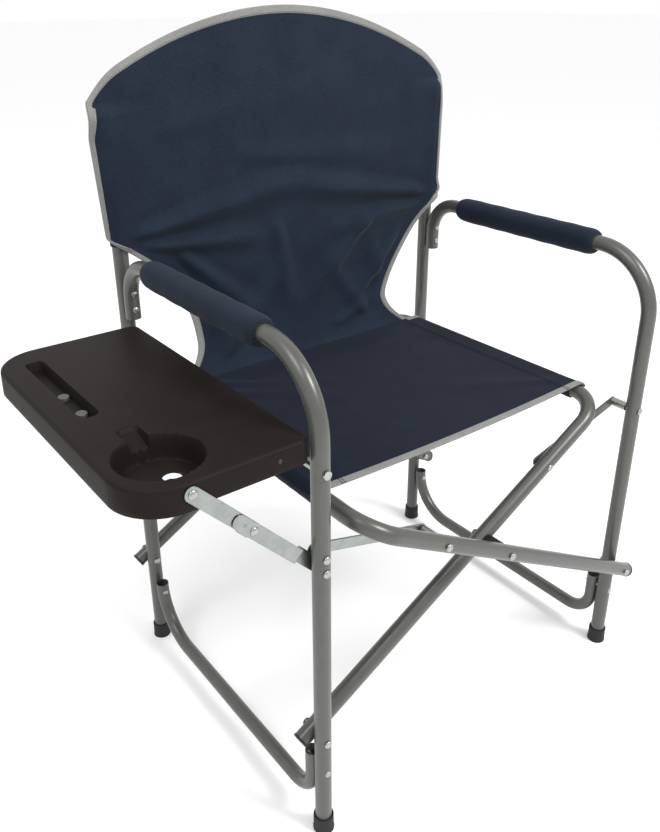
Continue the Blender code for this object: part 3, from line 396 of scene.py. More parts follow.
# ---------------------------------------------------------------- side frames, feet
def side_frame(side, x, body):
    arm_bends = (0.0, 0.0875, 0.05, 0.0)
    tail_y = LEG_Y - PLANE_STEP
    corners = [(x, -LEG_Y, LEG_FOOT_Z), (x, -LEG_Y, ARM_Z), (x, tail_y, ARM_Z), (x, tail_y, ARM_Z - 0.080)]
    arm = fillet(corners, arm_bends, steps=24)
    steel_tube("tube_of_arm_tube_" + side, arm, LEG_RADIUS, body)
    post = np.array([(x, LEG_Y, LEG_FOOT_Z), (x, LEG_Y, POST_TOP_Z)])
    steel_tube("tube_of_rear_post_" + side, post, LEG_RADIUS, body)
    low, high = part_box("side_rail_" + side)
    rail_y, rail_z = high.y - RAIL_TUBE_RADIUS, low.z + RAIL_TUBE_RADIUS
    rail = fillet([(x, -rail_y, high.z), (x, -rail_y, rail_z), (x, rail_y, rail_z), (x, rail_y, high.z)],
                  (0.0, 0.04, 0.075, 0.0), steps=20)
    steel_tube("tube_of_side_rail_" + side, rail, RAIL_TUBE_RADIUS, body)

    for end, sign in (("front", -1), ("rear", 1)):
        node = "foot_%s_%s" % (end, side)
        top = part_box(node)[1].z
        cap = rounded_profile([(0.0, 0.0), (0.0, 0.0134), (0.004, 0.0134), (0.0046, 0.0129),
                               (top, 0.0127), (top, 0.0112), (0.004, 0.0112), (0.004, 0.0)], 0.0004)
        made = turned("cap_of_" + node, cap, (x, sign * LEG_Y, 0.0), (0, 0, 1), RUBBER)
        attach(made, body)
        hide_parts(node)
        outer = sign * (LEG_Y + LEG_RADIUS + 0.0018)
        rivet("rail_rivet_%s_%s" % (end, side), x, high.z - 0.014, outer, sign * (rail_y - RAIL_TUBE_RADIUS
              - 0.0015), body, head=0.0042)
    for z in (0.602, 0.579):
        rivet("arm_rivet_%s_%d" % (side, round(z * 1000)), x, z, LEG_Y + LEG_RADIUS + 0.0018,
              tail_y - LEG_RADIUS - 0.0018, body, head=0.0042)


def cross_tube(name, sign):
    """Up from the lower pivots, across as a seat rail, and down again. sign is +1 for the frame whose rail
    is on the sitter's left; the other is the same turned half round."""
    front, rear = -LEG_Y + PLANE_STEP, LEG_Y + PLANE_STEP
    tail = 0.018
    tail_x, tail_z = -HALF_X - tail * math.cos(TILT), LOWER_Z - tail * math.sin(TILT)
    path = fillet([(tail_x, front, tail_z), (RAIL_X, front, RAIL_Z), (RAIL_X, rear, RAIL_Z),
                   (tail_x, rear, tail_z)], (0.0, 0.045, 0.045, 0.0), steps=20)
    path[:, :2] *= sign
    path[:, 0] += MID_X
    steel_tube("tube_of_" + name, path, LEG_RADIUS, name)
    outward = np.array((-math.cos(TILT) * sign, 0.0, -math.sin(TILT)))
    for end in ("front", "rear"):
        node = "end_plug_%s_%s" % (end, name[-1])
        at = path[0] if (middle(node) - Vector(path[0])).length < 0.03 else path[-1]
        cap = rounded_profile([(-0.012, 0.0), (-0.012, 0.0092), (0.0003, 0.0092), (0.0003, 0.0112),
                               (0.0034, 0.0106), (0.0034, 0.0)], 0.0006)
        made = turned("cap_of_" + node, cap, at, outward, NYLON)
        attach(made, name)
        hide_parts(node)


side_frame("right", RIGHT_X, "right_frame")
side_frame("left", LEFT_X, "left_frame")
cross_tube("frame_a", 1)
cross_tube("frame_b", -1)


# ---------------------------------------------------------------- rivets, spacers, links
def node_rivet(node, body, tube_y=None):
    """The rivet of a CAD pin. A pin that runs on past its tube has a shoulder from the tube's face."""
    low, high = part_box(node)
    outward = -1 if low.y + high.y < 0 else 1
    start, finish = (low.y, high.y) if outward < 0 else (high.y, low.y)
    shoulder = None
    if high.x - low.x > 0.011:
        face = outward * (tube_y - LEG_RADIUS - 0.0003)
        shoulder = (face, finish + outward * 0.0022)
    rivet("rivet_of_" + node, middle(node).x, middle(node).z, start, finish, body, shoulder=shoulder,
          nodes=(node,))


for end in ("front", "rear"):
    for side, body in (("right", "right_frame"), ("left", "left_frame")):
        node_rivet("pivot_pin_%s_%s" % (end, side), body)
        link = "link_%s_%s" % (end, side)
        node_rivet(link + "_leg_pin", body, LEG_Y)
        node_rivet(link + "_tube_pin", "frame_a" if side == "left" else "frame_b", LEG_Y + PLANE_STEP)
    node_rivet("cross_pin_" + end, "frame_a")
    node_rivet("stay_foot_pin_" + end, "right_frame")
    node_rivet("table_rivet_" + end, "table")
    low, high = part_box("cross_spacer_" + end)
    long = high.y - low.y
    bore, rim = 0.0034, 0.0086
    washer = rounded_profile([(0.0, bore), (0.0, rim), (long, rim), (long, bore), (0.0, bore)], 0.0003)
    made = turned("washer_of_cross_spacer_" + end, washer, (MID_X, low.y, CROSS_Z), (0, 1, 0), NYLON)
    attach(made, "frame_a")
    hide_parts("cross_spacer_" + end)


def strip(name, start, finish, width, thickness, middle_y, body, nodes=(), finish_with=None, reach=0.0):
    """Pressed strip in the XZ plane. Its half width at r along it is width / 2, or sqrt((width / 2)^2 - r^2)
    round each end; its section is a rounded rectangle. middle_y gives y for the distances r."""
    start, finish = np.array(start, float), np.array(finish, float)
    length = np.linalg.norm(finish - start) + reach
    along = unit(finish - start)
    across = np.array((-along[1], along[0]))
    half = width / 2
    turn = np.linspace(0.0, math.pi / 2, 14)
    r = np.concatenate([-half * np.cos(turn), np.linspace(0.0, length, 60)[1:-1],
                        length + half * np.sin(turn)])
    past = np.maximum(np.maximum(-r, r - length), 0.0)
    wide = np.sqrt(np.maximum(half ** 2 - past ** 2, 0.0))
    section = np.linspace(0.0, 2 * math.pi, 33)
    flat = np.sign(np.cos(section)) * np.abs(np.cos(section)) ** 0.22
    deep = np.sign(np.sin(section)) * np.abs(np.sin(section)) ** 0.45
    edge = np.minimum(wide, half) / half
    side = wide[:, None] * flat[None, :]
    y = np.asarray(middle_y(r))[:, None] + thickness / 2 * deep[None, :] * np.maximum(edge, 0.35)[:, None]
    grid = np.stack([start[0] + r[:, None] * along[0] + side * across[0], y,
                     start[1] + r[:, None] * along[1] + side * across[1]], axis=-1)
    caps = [grid[:1].mean(axis=1, keepdims=True).repeat(33, axis=1), grid, grid[-1:].mean(
        axis=1, keepdims=True).repeat(33, axis=1)]
    made = surface(name, [np.concatenate(caps)], finish_with or ZINC, sharp=50.0)
    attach(made, body)
    if nodes:
        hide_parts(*nodes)
    return made


LINK_THICKNESS = 0.0025
for end in ("front", "rear"):
    for side, body, x in (("right", "right_links", RIGHT_X), ("left", "left_links", LEFT_X)):
        node = "link_%s_%s" % (end, side)
        low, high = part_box(node)
        strap_y = low.y + LINK_THICKNESS / 2 if end == "front" else high.y - LINK_THICKNESS / 2
        tube = middle(node + "_tube_pin")
        # The left links sit in shade and are drawn in the darker powder coat as painted shade; the same links
        # on the right are zinc.
        link_finish = POWDER_COAT if side == "left" else ZINC
        strip("strap_of_" + node, (x, LINK_Z), (tube.x, tube.z), 0.014, LINK_THICKNESS,
              lambda r, y=strap_y: np.full_like(r, y), body, nodes=(node,), finish_with=link_finish)
        tail = high.y if end == "front" else low.y
        rivet("tail_rivet_" + node, tube.x, tube.z, tail, strap_y, body, head=0.0048)


# ---------------------------------------------------------------- table stays
def table_stay(end, outward):
    """Upper and lower bar. The lower one steps over, from its foot's plane to that beside the upper one."""
    elbow = middle("elbow_rivet_" + end)
    upper_low, upper_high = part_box("stay_upper_" + end)
    upper_y = (upper_low.y + upper_high.y) / 2
    lower_low, lower_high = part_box("stay_lower_" + end)
    thick = upper_high.y - upper_low.y
    faces = (lower_low.y + thick / 2, lower_high.y - thick / 2)
    outer_y, foot_y = sorted(faces, key=lambda y: abs(upper_y - y))
    width = 0.0165
    strip("bar_of_stay_upper_" + end, (STAY_TABLE[0], STAY_TABLE[2]), (elbow.x, elbow.z), width, thick,
          lambda r: np.full_like(r, upper_y), "stay_upper", nodes=("stay_upper_" + end,))
    jog, run = 0.037, 0.012
    strip("bar_of_stay_lower_" + end, (STAY_FOOT[0], STAY_FOOT[2]), (elbow.x, elbow.z), width, thick,
          lambda r: foot_y + (outer_y - foot_y) * smooth((r - jog) / run), "stay_lower",
          nodes=("stay_lower_" + end,), reach=0.022)
    along = Vector((elbow.x - STAY_FOOT[0], 0.0, elbow.z - STAY_FOOT[2])).normalized()
    face = outer_y + outward * thick / 2
    spot = elbow + along * 0.014
    profile = [(-0.0004, 0.0), (-0.0004, 0.0024), (0.0004, 0.0021), (0.0008, 0.0012), (0.0009, 0.0)]
    dimple = turned("dimple_of_stay_" + end, profile, (spot.x, face, spot.z), (0, outward, 0), ZINC, 20)
    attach(dimple, "stay_lower")
    down = Vector((along.z, 0.0, -along.x))
    if down.z > 0:
        down = -down
    tab_from, tab_to = elbow + along * 0.004 + down * 0.0075, elbow + along * 0.016 + down * 0.0075
    tab_y = outer_y - outward * 0.003
    strip("stop_tab_of_stay_" + end, (tab_from.x, tab_from.z), (tab_to.x, tab_to.z), 0.004, 0.0075,
          lambda r: np.full_like(r, tab_y), "stay_lower")
    low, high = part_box("elbow_rivet_" + end)
    start, finish = (low.y, high.y) if outward < 0 else (high.y, low.y)
    rivet("rivet_of_elbow_" + end, elbow.x, elbow.z, start, finish - outward * 0.0015, "stay_lower",
          nodes=("elbow_rivet_" + end,))


table_stay("front", -1)
table_stay("rear", 1)

low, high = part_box("hinge_rod")
half_rod = [(0.0, 0.0), (0.0, 0.005), (0.0022, 0.005), (0.0022, 0.0032), (0.0245, 0.0032), (0.0245, 0.005)]
rod = rounded_profile(half_rod + [(high.y - low.y - at, radius) for at, radius in half_rod[::-1]], 0.0003)
made = turned("rod_of_hinge", rod, (HINGE[0], low.y, HINGE[2]), (0, 1, 0), RIVET, 24)
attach(made, "right_frame")
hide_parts("hinge_rod")
for node in ("hinge_clip_front", "hinge_clip_rear"):
    frame["nodes"][node].data.materials.clear()
    frame["nodes"][node].data.materials.append(NYLON)


# ---------------------------------------------------------------- side table
def table_shell():
    """Moulded tray table. The top is a height over the plan: level, less the depth of each recess eased over
    its wall, less the rounding of the rim, R - sqrt(R^2 - (R - d)^2) at a distance d inside the edge."""
    x0, x1, y0, y1, top = TABLE_LOW.x, TABLE_HIGH.x, TABLE_LOW.y, TABLE_HIGH.y, TABLE_HIGH.z
    outer_corner, inner_corner, rim, wall, floor = 0.055, 0.012, 0.0045, 0.0025, 0.003
    cup = (x0 + 0.0585, y0 + 0.0615, 0.0455, 0.0275)
    notch_x, notch_y, notch_half = cup[0] - 0.001, y0 + 0.133, 0.0125
    tray_x, tray_low, tray_high, tray_half, tray_depth = x0 + 0.040, y0 + 0.177, y1 - 0.043, 0.011, 0.013

    def plan(inset):
        low_x, high_x, low_y, high_y = x0 + inset, x1 - inset, y0 + inset, y1 - inset
        big, small = outer_corner - inset, inner_corner - inset
        turn = np.linspace(0.0, math.pi / 2, 22)
        ends = big * (1 - np.cos(turn))
        y = np.concatenate([low_y + ends, np.linspace(low_y + big, high_y - big, 242)[1:-1],
                            (high_y - ends)[::-1]])
        from_end = np.minimum(y - low_y, high_y - y)
        left = low_x + big - np.sqrt(np.maximum(big ** 2 - np.maximum(big - from_end, 0.0) ** 2, 0.0))
        right = high_x - small + np.sqrt(np.maximum(small ** 2 - np.maximum(small - from_end, 0.0) ** 2, 0.0))
        edge = 0.03 * (1 - np.cos(np.linspace(0.0, math.pi / 2, 8))) / 0.9
        across = np.concatenate([edge[:-1], np.linspace(edge[-1], 1 - edge[-1], 138), (1 - edge[:-1])[::-1]])
        x = left[:, None] + (right - left)[:, None] * across[None, :]
        return x, np.broadcast_to(y[:, None], x.shape)

    def box_distance(x, y, mid_x, mid_y, half_x, half_y, corner):
        away_x, away_y = np.abs(x - mid_x) - half_x + corner, np.abs(y - mid_y) - half_y + corner
        outside = np.hypot(np.maximum(away_x, 0.0), np.maximum(away_y, 0.0))
        return outside + np.minimum(np.maximum(away_x, away_y), 0.0) - corner

    def recesses(x, y, grow):
        slope = 0.0062
        round_cup = np.hypot(x - cup[0], y - cup[1]) - cup[2] - grow
        deep = cup[3] * smooth(-round_cup / slope)
        slot = box_distance(x, y, notch_x, (cup[1] + notch_y) / 2, notch_half + grow,
                            (notch_y - cup[1]) / 2 + grow, 0.006 + grow)
        ramp = 0.004 + 0.021 * np.clip((notch_y - y) / 0.056, 0.0, 1.0) ** 1.2
        deep = np.maximum(deep, ramp * smooth(-slot / 0.0036))
        long = box_distance(x, y, tray_x, (tray_low + tray_high) / 2, tray_half + grow,
                            (tray_high - tray_low) / 2 + grow, 0.0085 + grow)
        deep = np.maximum(deep, tray_depth * smooth(-long / 0.0036))
        return deep

    x, y = plan(0.0)
    big_side = x < (x0 + x1) / 2
    corner = np.where(big_side, outer_corner, inner_corner)
    inside = -box_distance(x, y, (x0 + x1) / 2, (y0 + y1) / 2, (x1 - x0) / 2, (y1 - y0) / 2, corner)
    short = np.clip(rim - inside, 0.0, rim)
    z = top - recesses(x, y, 0.0) - (rim - np.sqrt(rim ** 2 - short ** 2))
    upper = np.stack([x, y, z], axis=-1)
    x, y = plan(wall)
    lower = np.stack([x, y, top - floor - recesses(x, y, wall)], axis=-1)

    def border(grid):
        return np.concatenate([grid[0], grid[1:, -1], grid[-1, -2::-1], grid[-2::-1, 0]])

    outer, inner = border(upper), border(lower)
    outward = unit((outer - inner) * (1.0, 1.0, 0.0))
    foot = np.full(len(outer), TABLE_LOW.z)
    step = (outer[:, 1] < y0 + 0.004) & (outer[:, 0] > x0 + 0.072)
    foot = foot + np.where(step, 0.0035, 0.0)

    def ring(base, out, height):
        points = base + outward * out
        points[:, 2] = height
        return points

    down = [outer]
    for share, out in ((0.35, 0.0002), (0.7, 0.0004), (0.96, 0.0005)):
        down.append(ring(outer, out, outer[:, 2] + (foot - outer[:, 2]) * share))
    down += [ring(outer, 0.0, foot), ring(inner, 0.0004, foot), ring(inner, 0.0, foot + 0.0008), inner]
    return surface("shell_of_table_top", [upper, lower, np.stack(down)], POLYPROPYLENE, sharp=35.0), cup, (tray_x, tray_low, tray_high, tray_depth)


def cut(made, cutters):
    """Take the cutters out of the piece, then drop them."""
    for cutter in cutters:
        change = made.modifiers.new("cut", "BOOLEAN")
        change.operation = "DIFFERENCE"
        change.solver = "EXACT"
        change.object = cutter
    apply_modifiers(made)
    for cutter in cutters:
        bpy.data.objects.remove(cutter, do_unlink=True)


def rod_cutter(x, y, radius, low, high, stretch=0.0):
    """A round or long-ended punch along Z: a circle pulled apart by the stretch along Y."""
    turn = np.linspace(0.0, 2 * math.pi, 33)
    ring = np.stack([x + radius * np.cos(turn), y + radius * np.sin(turn) + np.sign(np.round(np.sin(turn), 6))
                     * stretch / 2, np.zeros_like(turn)], axis=-1)
    centre = np.broadcast_to(np.array((x, y, 0.0)), ring.shape)
    grid = np.stack([centre + (0, 0, low), ring + (0, 0, low), ring + (0, 0, high), centre + (0, 0, high)])
    return surface("punch", [grid], POLYPROPYLENE)


table, cup, tray = table_shell()
deep = TABLE_HIGH.z - cup[3]
punches = [rod_cutter(cup[0] + 0.012, cup[1] + 0.001, 0.010, deep - 0.02, deep + 0.006)]
PEG_YS = (TABLE_LOW.y + 0.209, TABLE_LOW.y + 0.260)
for y in PEG_YS:
    punches.append(rod_cutter(tray[0] - 0.0086, y + 0.001, 0.0027, TABLE_HIGH.z - tray[3] - 0.012,
                              TABLE_HIGH.z - tray[3] + 0.008, 0.006))
cut(table, punches)
table.data.shade_smooth()
table.data.set_sharp_from_angle(angle=math.radians(40.0))
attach(table, "table")
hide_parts("table_top")
for index, y in enumerate(PEG_YS):
    disc = turned("tray_peg_%d" % (index + 1), [(-0.0006, 0.0), (-0.0006, 0.0068), (0.0034, 0.0066),
                                                (0.0040, 0.0060), (0.0038, 0.0050), (0.0037, 0.0)],
                  (tray[0] + 0.0006, y, TABLE_HIGH.z - tray[3]), (0, 0, 1), DISC_GREY)
    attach(disc, "table")
screw_x = HINGE[0] - 0.050
rivet("skirt_screw", screw_x, TABLE_HIGH.z - 0.013, TABLE_LOW.y - 0.0016, TABLE_LOW.y + 0.004, "table",
      head=0.0028, finish=NYLON)


# ---------------------------------------------------------------- fabric: pieces along an edge
def tape(name, edge, inward, normal, body, width=TAPE_WIDTH, thickness=TAPE_THICKNESS, squashed=None,
         bow=None):
    """Binding folded over an edge: a flattened oval section, |cos|^0.5 by |sin|^0.7, carried along the edge
    with its outer side just past it, and rounded shut at both ends."""
    inward, normal = unit(inward), unit(normal)
    turn = np.linspace(0.0, 2 * math.pi, 25)
    wide = np.sign(np.cos(turn)) * np.abs(np.cos(turn)) ** 0.5 * width / 2
    thick = np.sign(np.sin(turn)) * np.abs(np.sin(turn)) ** 0.7 * thickness / 2
    centre = edge + inward * (width / 2 - 0.0012)
    rows = centre[:, None] + wide[None, :, None] * inward[:, None] + thick[None, :, None] * normal[:, None]
    if bow is not None:
        rows = rows + bow[:, None] * (1 - (wide * 2 / width) ** 2)[None, :, None]
    shut = [centre[:1, None].repeat(25, axis=1), rows, centre[-1:, None].repeat(25, axis=1)]
    grid = np.concatenate(shut)
    run = np.concatenate([[0.0], np.cumsum(np.linalg.norm(np.diff(centre, axis=0), axis=1))])
    run = np.concatenate([run[:1], run, run[-1:]])
    around = np.linspace(0.0, 2 * (width + thickness), 25)
    uv = np.stack(np.broadcast_arrays(around[None, :], run[:, None]), axis=-1)
    made = surface(name, [grid], TAPE, uvs=[uv], sharp=70.0)
    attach(made, body)
    if squashed:
        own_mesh(made)
    return made


def stitches(name, path, normal, body, squashed=None, pitch=0.0042, length=0.0031, radius=0.00042,
             thread=None):
    """A row of stitches: one small six-sided bead, radius * sqrt(1 - t^2) round a line of the stitch's
    length, set at each pitch along the path."""
    points = spaced(path, pitch)
    here, given = np.linspace(0, 1, len(points)), np.linspace(0, 1, len(normal))
    lift = np.stack([np.interp(here, given, normal[:, axis]) for axis in range(3)], axis=1)
    tangent, _, _ = directions(points)
    side = unit(np.cross(tangent, lift))
    up = np.cross(side, tangent)
    along = np.linspace(-1.0, 1.0, 6)
    swell = np.sqrt(1 - along ** 2) ** 0.6
    turn = np.linspace(0.0, 2 * math.pi, 7)
    grids = []
    for k in range(len(points)):
        bead = (points[k] + along[:, None, None] * length / 2 * tangent[k]
                + radius * swell[:, None, None] * (np.cos(turn)[None, :, None] * side[k]
                                                   + np.sin(turn)[None, :, None] * up[k]))
        grids.append(bead)
    made = surface(name, grids, thread or THREAD, uvs=[np.zeros(grid.shape[:2] + (2,)) for grid in grids])
    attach(made, body)
    if squashed:
        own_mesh(made)
    return made


def cloth_uv(grid):
    """Metres along each row, from its middle, and metres up the middle column."""
    steps = np.linalg.norm(np.diff(grid[:, grid.shape[1] // 2], axis=0), axis=1)
    upward = np.concatenate([[0.0], np.cumsum(steps)])
    wide = np.linalg.norm(np.diff(grid, axis=1), axis=2)
    wide = np.concatenate([np.zeros((len(grid), 1)), np.cumsum(wide, axis=1)], axis=1)
    wide -= wide[:, -1:] / 2
    return np.stack(np.broadcast_arrays(wide, upward[:, None]), axis=-1)


def cloth(name, grid, finish, body, thickness=FABRIC):
    made = surface(name, [grid], finish, uvs=[cloth_uv(grid)], sharp=80.0)
    thick = made.modifiers.new("thickness", "SOLIDIFY")
    thick.thickness = thickness
    thick.offset = 0.0
    apply_modifiers(made)
    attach(made, body)
    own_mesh(made)
    return made


def creases(x, z, lines):
    """Soft folds. Each runs from one point to another: height A e^(-(d/w)^2) cos(1.7 d/w) at a distance d
    from the line, w growing from one end to the other, faded in and out along it."""
    total = np.zeros(np.broadcast(x, z).shape)
    for x_a, z_a, x_b, z_b, height, narrow, broad in lines:
        run = math.hypot(x_b - x_a, z_b - z_a)
        along = ((x - x_a) * (x_b - x_a) + (z - z_a) * (z_b - z_a)) / run
        away = ((x - x_a) * (z_b - z_a) - (z - z_a) * (x_b - x_a)) / run
        share = along / run
        width = narrow + (broad - narrow) * np.clip(share, 0.0, 1.0)
        fade = smooth((share + 0.02) / 0.16) * smooth((1.25 - share) / 0.6)
        total += height * np.exp(-(away / width) ** 2) * np.cos(1.7 * away / width) * fade
    return total


# ---------------------------------------------------------------- back
BACK_FOLD = ("fold", (1, 0, 0), (RIGHT_X, LEG_Y, POST_TOP_Z), 0.467)
SEAT_FOLD = ("fold", (1, 0, 0), (MID_X + RAIL_X, 0.0, RAIL_Z), 0.467)
WRAP = 0.0145
BACK_WIDE = HALF_X + 0.0150
WAIST = 0.180
WAIST_Z = SEAT_HIGH.z + 0.047
BEND_Z = SEAT_HIGH.z + 0.147
BACK_FOOT_Y = SEAT_HIGH.y - 0.002
BACK_FOOT_Z = SEAT_HIGH.z + 0.0008
BACK_HIGH_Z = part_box("back_panel")[1].z

BACK_LINES = [
    # tension ridges slung between the two pockets' lower ends
    (-0.285, 0.668, 0.010, 0.712, 0.0060, 0.012, 0.030), (0.285, 0.660, -0.010, 0.708, 0.0060, 0.012, 0.030),
    (-0.270, 0.655, -0.060, 0.640, 0.0050, 0.010, 0.024), (0.275, 0.645, 0.070, 0.628, 0.0044, 0.010, 0.026),
    (-0.100, 0.760, 0.200, 0.735, 0.0026, 0.018, 0.030), (-0.240, 0.800, 0.060, 0.845, 0.0018, 0.020, 0.040),
    # and folds that fall from them towards the waist, and fan up from the seat
    (-0.250, 0.640, -0.165, 0.520, 0.0050, 0.009, 0.020), (0.255, 0.618, 0.165, 0.500, 0.0050, 0.009, 0.020),
    (-0.200, 0.640, -0.070, 0.520, 0.0056, 0.010, 0.026), (0.220, 0.610, 0.110, 0.505, 0.0054, 0.010, 0.024),
    (0.150, 0.640, 0.020, 0.520, 0.0046, 0.012, 0.030), (-0.030, 0.660, -0.010, 0.520, 0.0040, 0.014, 0.030),
    (-0.195, 0.462, -0.110, 0.600, 0.0040, 0.010, 0.024), (0.190, 0.470, 0.150, 0.610, 0.0030, 0.014, 0.026),
    (-0.150, 0.460, -0.020, 0.590, 0.0036, 0.010, 0.028), (0.140, 0.470, 0.060, 0.590, 0.0026, 0.014, 0.028),
    (0.060, 0.470, 0.200, 0.520, 0.0030, 0.010, 0.022),
]


def crown_height(x):
    """The crown falls 1.05 x^2 from its middle, and a little more near each corner."""
    return BACK_HIGH_Z - 1.05 * x ** 2 - 0.018 * np.clip((np.abs(x) - 0.25) / 0.046, 0.0, 1.0) ** 2


def side_edge(z, flare, corner_z, power, bump):
    """Half the width: straight down the post, flared a little to the top, rounded at the corner by a smooth
    minimum, then W + (B - W) s^p in to the waist, and a parabola out to the foot. There may be a small
    bulge at the corner."""
    flare_z, flare_rise, soft, level = 0.668, 0.17, 0.0035, 0.28
    wide = BACK_WIDE + flare * np.clip((z - flare_z) / flare_rise, 0.0, 1.0)
    s = np.maximum((z - WAIST_Z) / (corner_z - WAIST_Z), 0.0)
    curve = np.minimum(WAIST + (wide - WAIST) * s ** power, 0.4)
    rounded = -soft * np.log(np.exp(-(wide - level) / soft) + np.exp(-(curve - level) / soft)) + level
    below = np.clip((WAIST_Z - z) / (WAIST_Z - BACK_FOOT_Z), 0.0, 1.0)
    return rounded + 0.032 * below ** 2 + bump * np.exp(-((z - corner_z - 0.006) / 0.011) ** 2)


def back_grid():
    """Rows from the seat to the crown, whose last rows rise to the crown's height at each column. The lower
    part is a quarter of an ellipse in Y and Z. Over a post the cloth is a quarter of an ellipse in X and Y,
    from the post's front to its outer side, and goes flat above the pocket."""
    turn = np.linspace(0.0, math.pi / 2, 54)
    low_z = BACK_FOOT_Z + (BEND_Z - BACK_FOOT_Z) * (1 - np.cos(turn))
    low_y = BACK_FOOT_Y + (LEG_Y - 0.004 - BACK_FOOT_Y) * np.sin(turn)
    mid_z = np.concatenate([np.linspace(BEND_Z, POCKET_LOW_Z + 0.02, 44)[1:],
                            np.linspace(POCKET_LOW_Z + 0.024, POCKET_TOP_Z + 0.001, 36)])
    share = np.linspace(0.0, 1.0, 34)[1:]
    z = np.concatenate([low_z, mid_z, np.full(len(share), mid_z[-1])])
    y = np.concatenate([low_y, np.full(len(mid_z) + len(share), LEG_Y - 0.004)])
    near = 0.9 + 0.1 * np.sin(np.linspace(0.0, math.pi / 2, 25))[1:]
    half = np.concatenate([np.linspace(0.0, 0.9, 48), near])
    columns = np.concatenate([-half[:0:-1], half])
    right, left = side_edge(z, 0.010, 0.668, 2.3, 0.0), side_edge(z, 0.003, 0.657, 1.25, 0.006)
    wide = np.where(columns[None, :] < 0, right[:, None], left[:, None])
    near_top = smooth((z - POCKET_TOP_Z + 0.03) / 0.03)[:, None]
    tip_right, tip_left, tip_top = 0.003, -0.0105, 0.007
    tip = np.where(columns < 0, tip_right, tip_left)[None, :] * (1 - near_top) - tip_top * near_top
    x = wide * columns[None, :]
    z = np.broadcast_to(z[:, None], x.shape).copy()
    z[-len(share):] += (crown_height(columns * (HALF_X + 0.0133)) - mid_z[-1])[None, :] * share[:, None]
    past = np.clip((np.abs(x) - HALF_X) / np.maximum(wide - HALF_X, 1e-6), 0.0, 1.0)
    full = np.clip((wide - HALF_X) / 0.0145, 0.0, 1.0)
    tip = tip * full - WRAP * np.sqrt(1 - full ** 2)
    out = np.clip(np.abs(x) / HALF_X, 0.0, 1.0)
    front = np.where(past > 0, 0.004 + tip - (WRAP + tip) * np.sqrt(1 - past ** 2), (0.004 - WRAP) * out ** 9)
    front = front * (1 - smooth((z - POCKET_TOP_Z) / 0.018)) * smooth((z - BEND_Z) / 0.04)
    lean = 0.006 * smooth((z - POST_TOP_Z) / 0.12)
    depth = y[:, None] + front + lean + 0.005 * (1 - out ** 2) * smooth((z - BEND_Z) / 0.15)
    ease = smooth((z - BACK_FOOT_Z) / 0.03)
    folds = 1.8 * creases(x, z, BACK_LINES) * ease
    swell = 0.0018 * np.sin(23 * x + 1.1) * np.sin(17 * z + 0.4) * ease
    z = z - (0.0016 - 0.0013 * (x / RAIL_X) ** 2) * (1 - smooth((z - BACK_FOOT_Z) / 0.03))
    depth -= (folds + swell) * smooth((0.94 - np.abs(columns)) / 0.14)
    return np.stack([x + MID_X, depth, z], axis=-1)


def back():
    grid = back_grid()
    panel = cloth("back_fabric", grid, NAVY, "right_frame")
    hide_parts("back_panel")
    around = np.concatenate([grid[:, 0], grid[-1, 1:], grid[-2::-1, -1]])
    inside = np.concatenate([grid[:, 7], grid[-5, 1:], grid[-2::-1, -8]])
    bow = np.concatenate([grid[:, 3] + grid[:, 4], grid[-3, 1:] * 2, grid[-2::-1, -4] + grid[-2::-1, -5]]) / 2
    edge = spaced(around, 0.004)
    inward = matched(inside, around, len(edge)) - edge
    bow = matched(bow, around, len(edge)) - edge - inward / 2
    inward = unit(inward)
    for _ in range(8):
        inward[1:-1] = unit(inward[:-2] + 2 * inward[1:-1] + inward[2:])
        bow[1:-1] = (bow[:-2] + 2 * bow[1:-1] + bow[2:]) / 4
    normal = unit(np.cross(directions(edge)[0], inward))
    pieces = [tape("tape_back_edge", edge, inward, normal, "right_frame", squashed=BACK_FOLD, bow=bow)]
    line = edge + inward * (TAPE_WIDTH - 0.0032) - normal * (TAPE_THICKNESS / 2 - 0.0001)
    pieces.append(stitches("stitches_back_edge", line, -normal, "right_frame", squashed=BACK_FOLD,
                           thread=GREY_THREAD))
    return grid


def matched(values, path, count):
    """Values given at each path point, read again at count even places along it."""
    run = np.concatenate([[0.0], np.cumsum(np.linalg.norm(np.diff(path, axis=0), axis=1))])
    places = np.linspace(0.0, run[-1], count)
    return np.stack([np.interp(places, run, values[:, axis]) for axis in range(3)], axis=1)


def pocket(side, x, body):
    """Sewn sleeve round a post, closed on top: circles of the pocket's radius, drawn in over its end."""
    inner, outer, low, top = LEG_RADIUS + 0.0003, LEG_RADIUS + 0.0013, POCKET_LOW_Z - 0.0012, POCKET_TOP_Z
    height = top - low
    rows = [(0.0, inner), (-0.0002, outer - 0.0003), (0.0, outer + 0.0004), (0.010, outer + 0.0004),
            (0.0115, outer), (0.04, outer + 0.0003), (0.08, outer), (height - 0.006, outer),
            (height - 0.002, outer - 0.0015), (height, outer - 0.006), (height + 0.0004, 0.0),
            (height - 0.0014, 0.0), (height - 0.0014, inner - 0.001), (height - 0.004, inner), (0.0, inner)]
    profile = np.array(rows)
    turn = np.linspace(0.0, 2 * math.pi, 41)
    spread = np.stack([np.cos(turn), np.sin(turn), np.zeros_like(turn)], axis=-1)
    grid = (np.array((x, LEG_Y, low)) + profile[:, 0, None, None] * np.array((0.0, 0.0, 1.0))
            + profile[:, 1, None, None] * spread[None])
    uv = np.stack(np.broadcast_arrays(turn[None, :] * outer, profile[:, :1]), axis=-1)
    made = surface("sleeve_of_back_pocket_" + side, [grid], NAVY, uvs=[uv], sharp=60.0)
    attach(made, body)
    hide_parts("back_pocket_" + side)


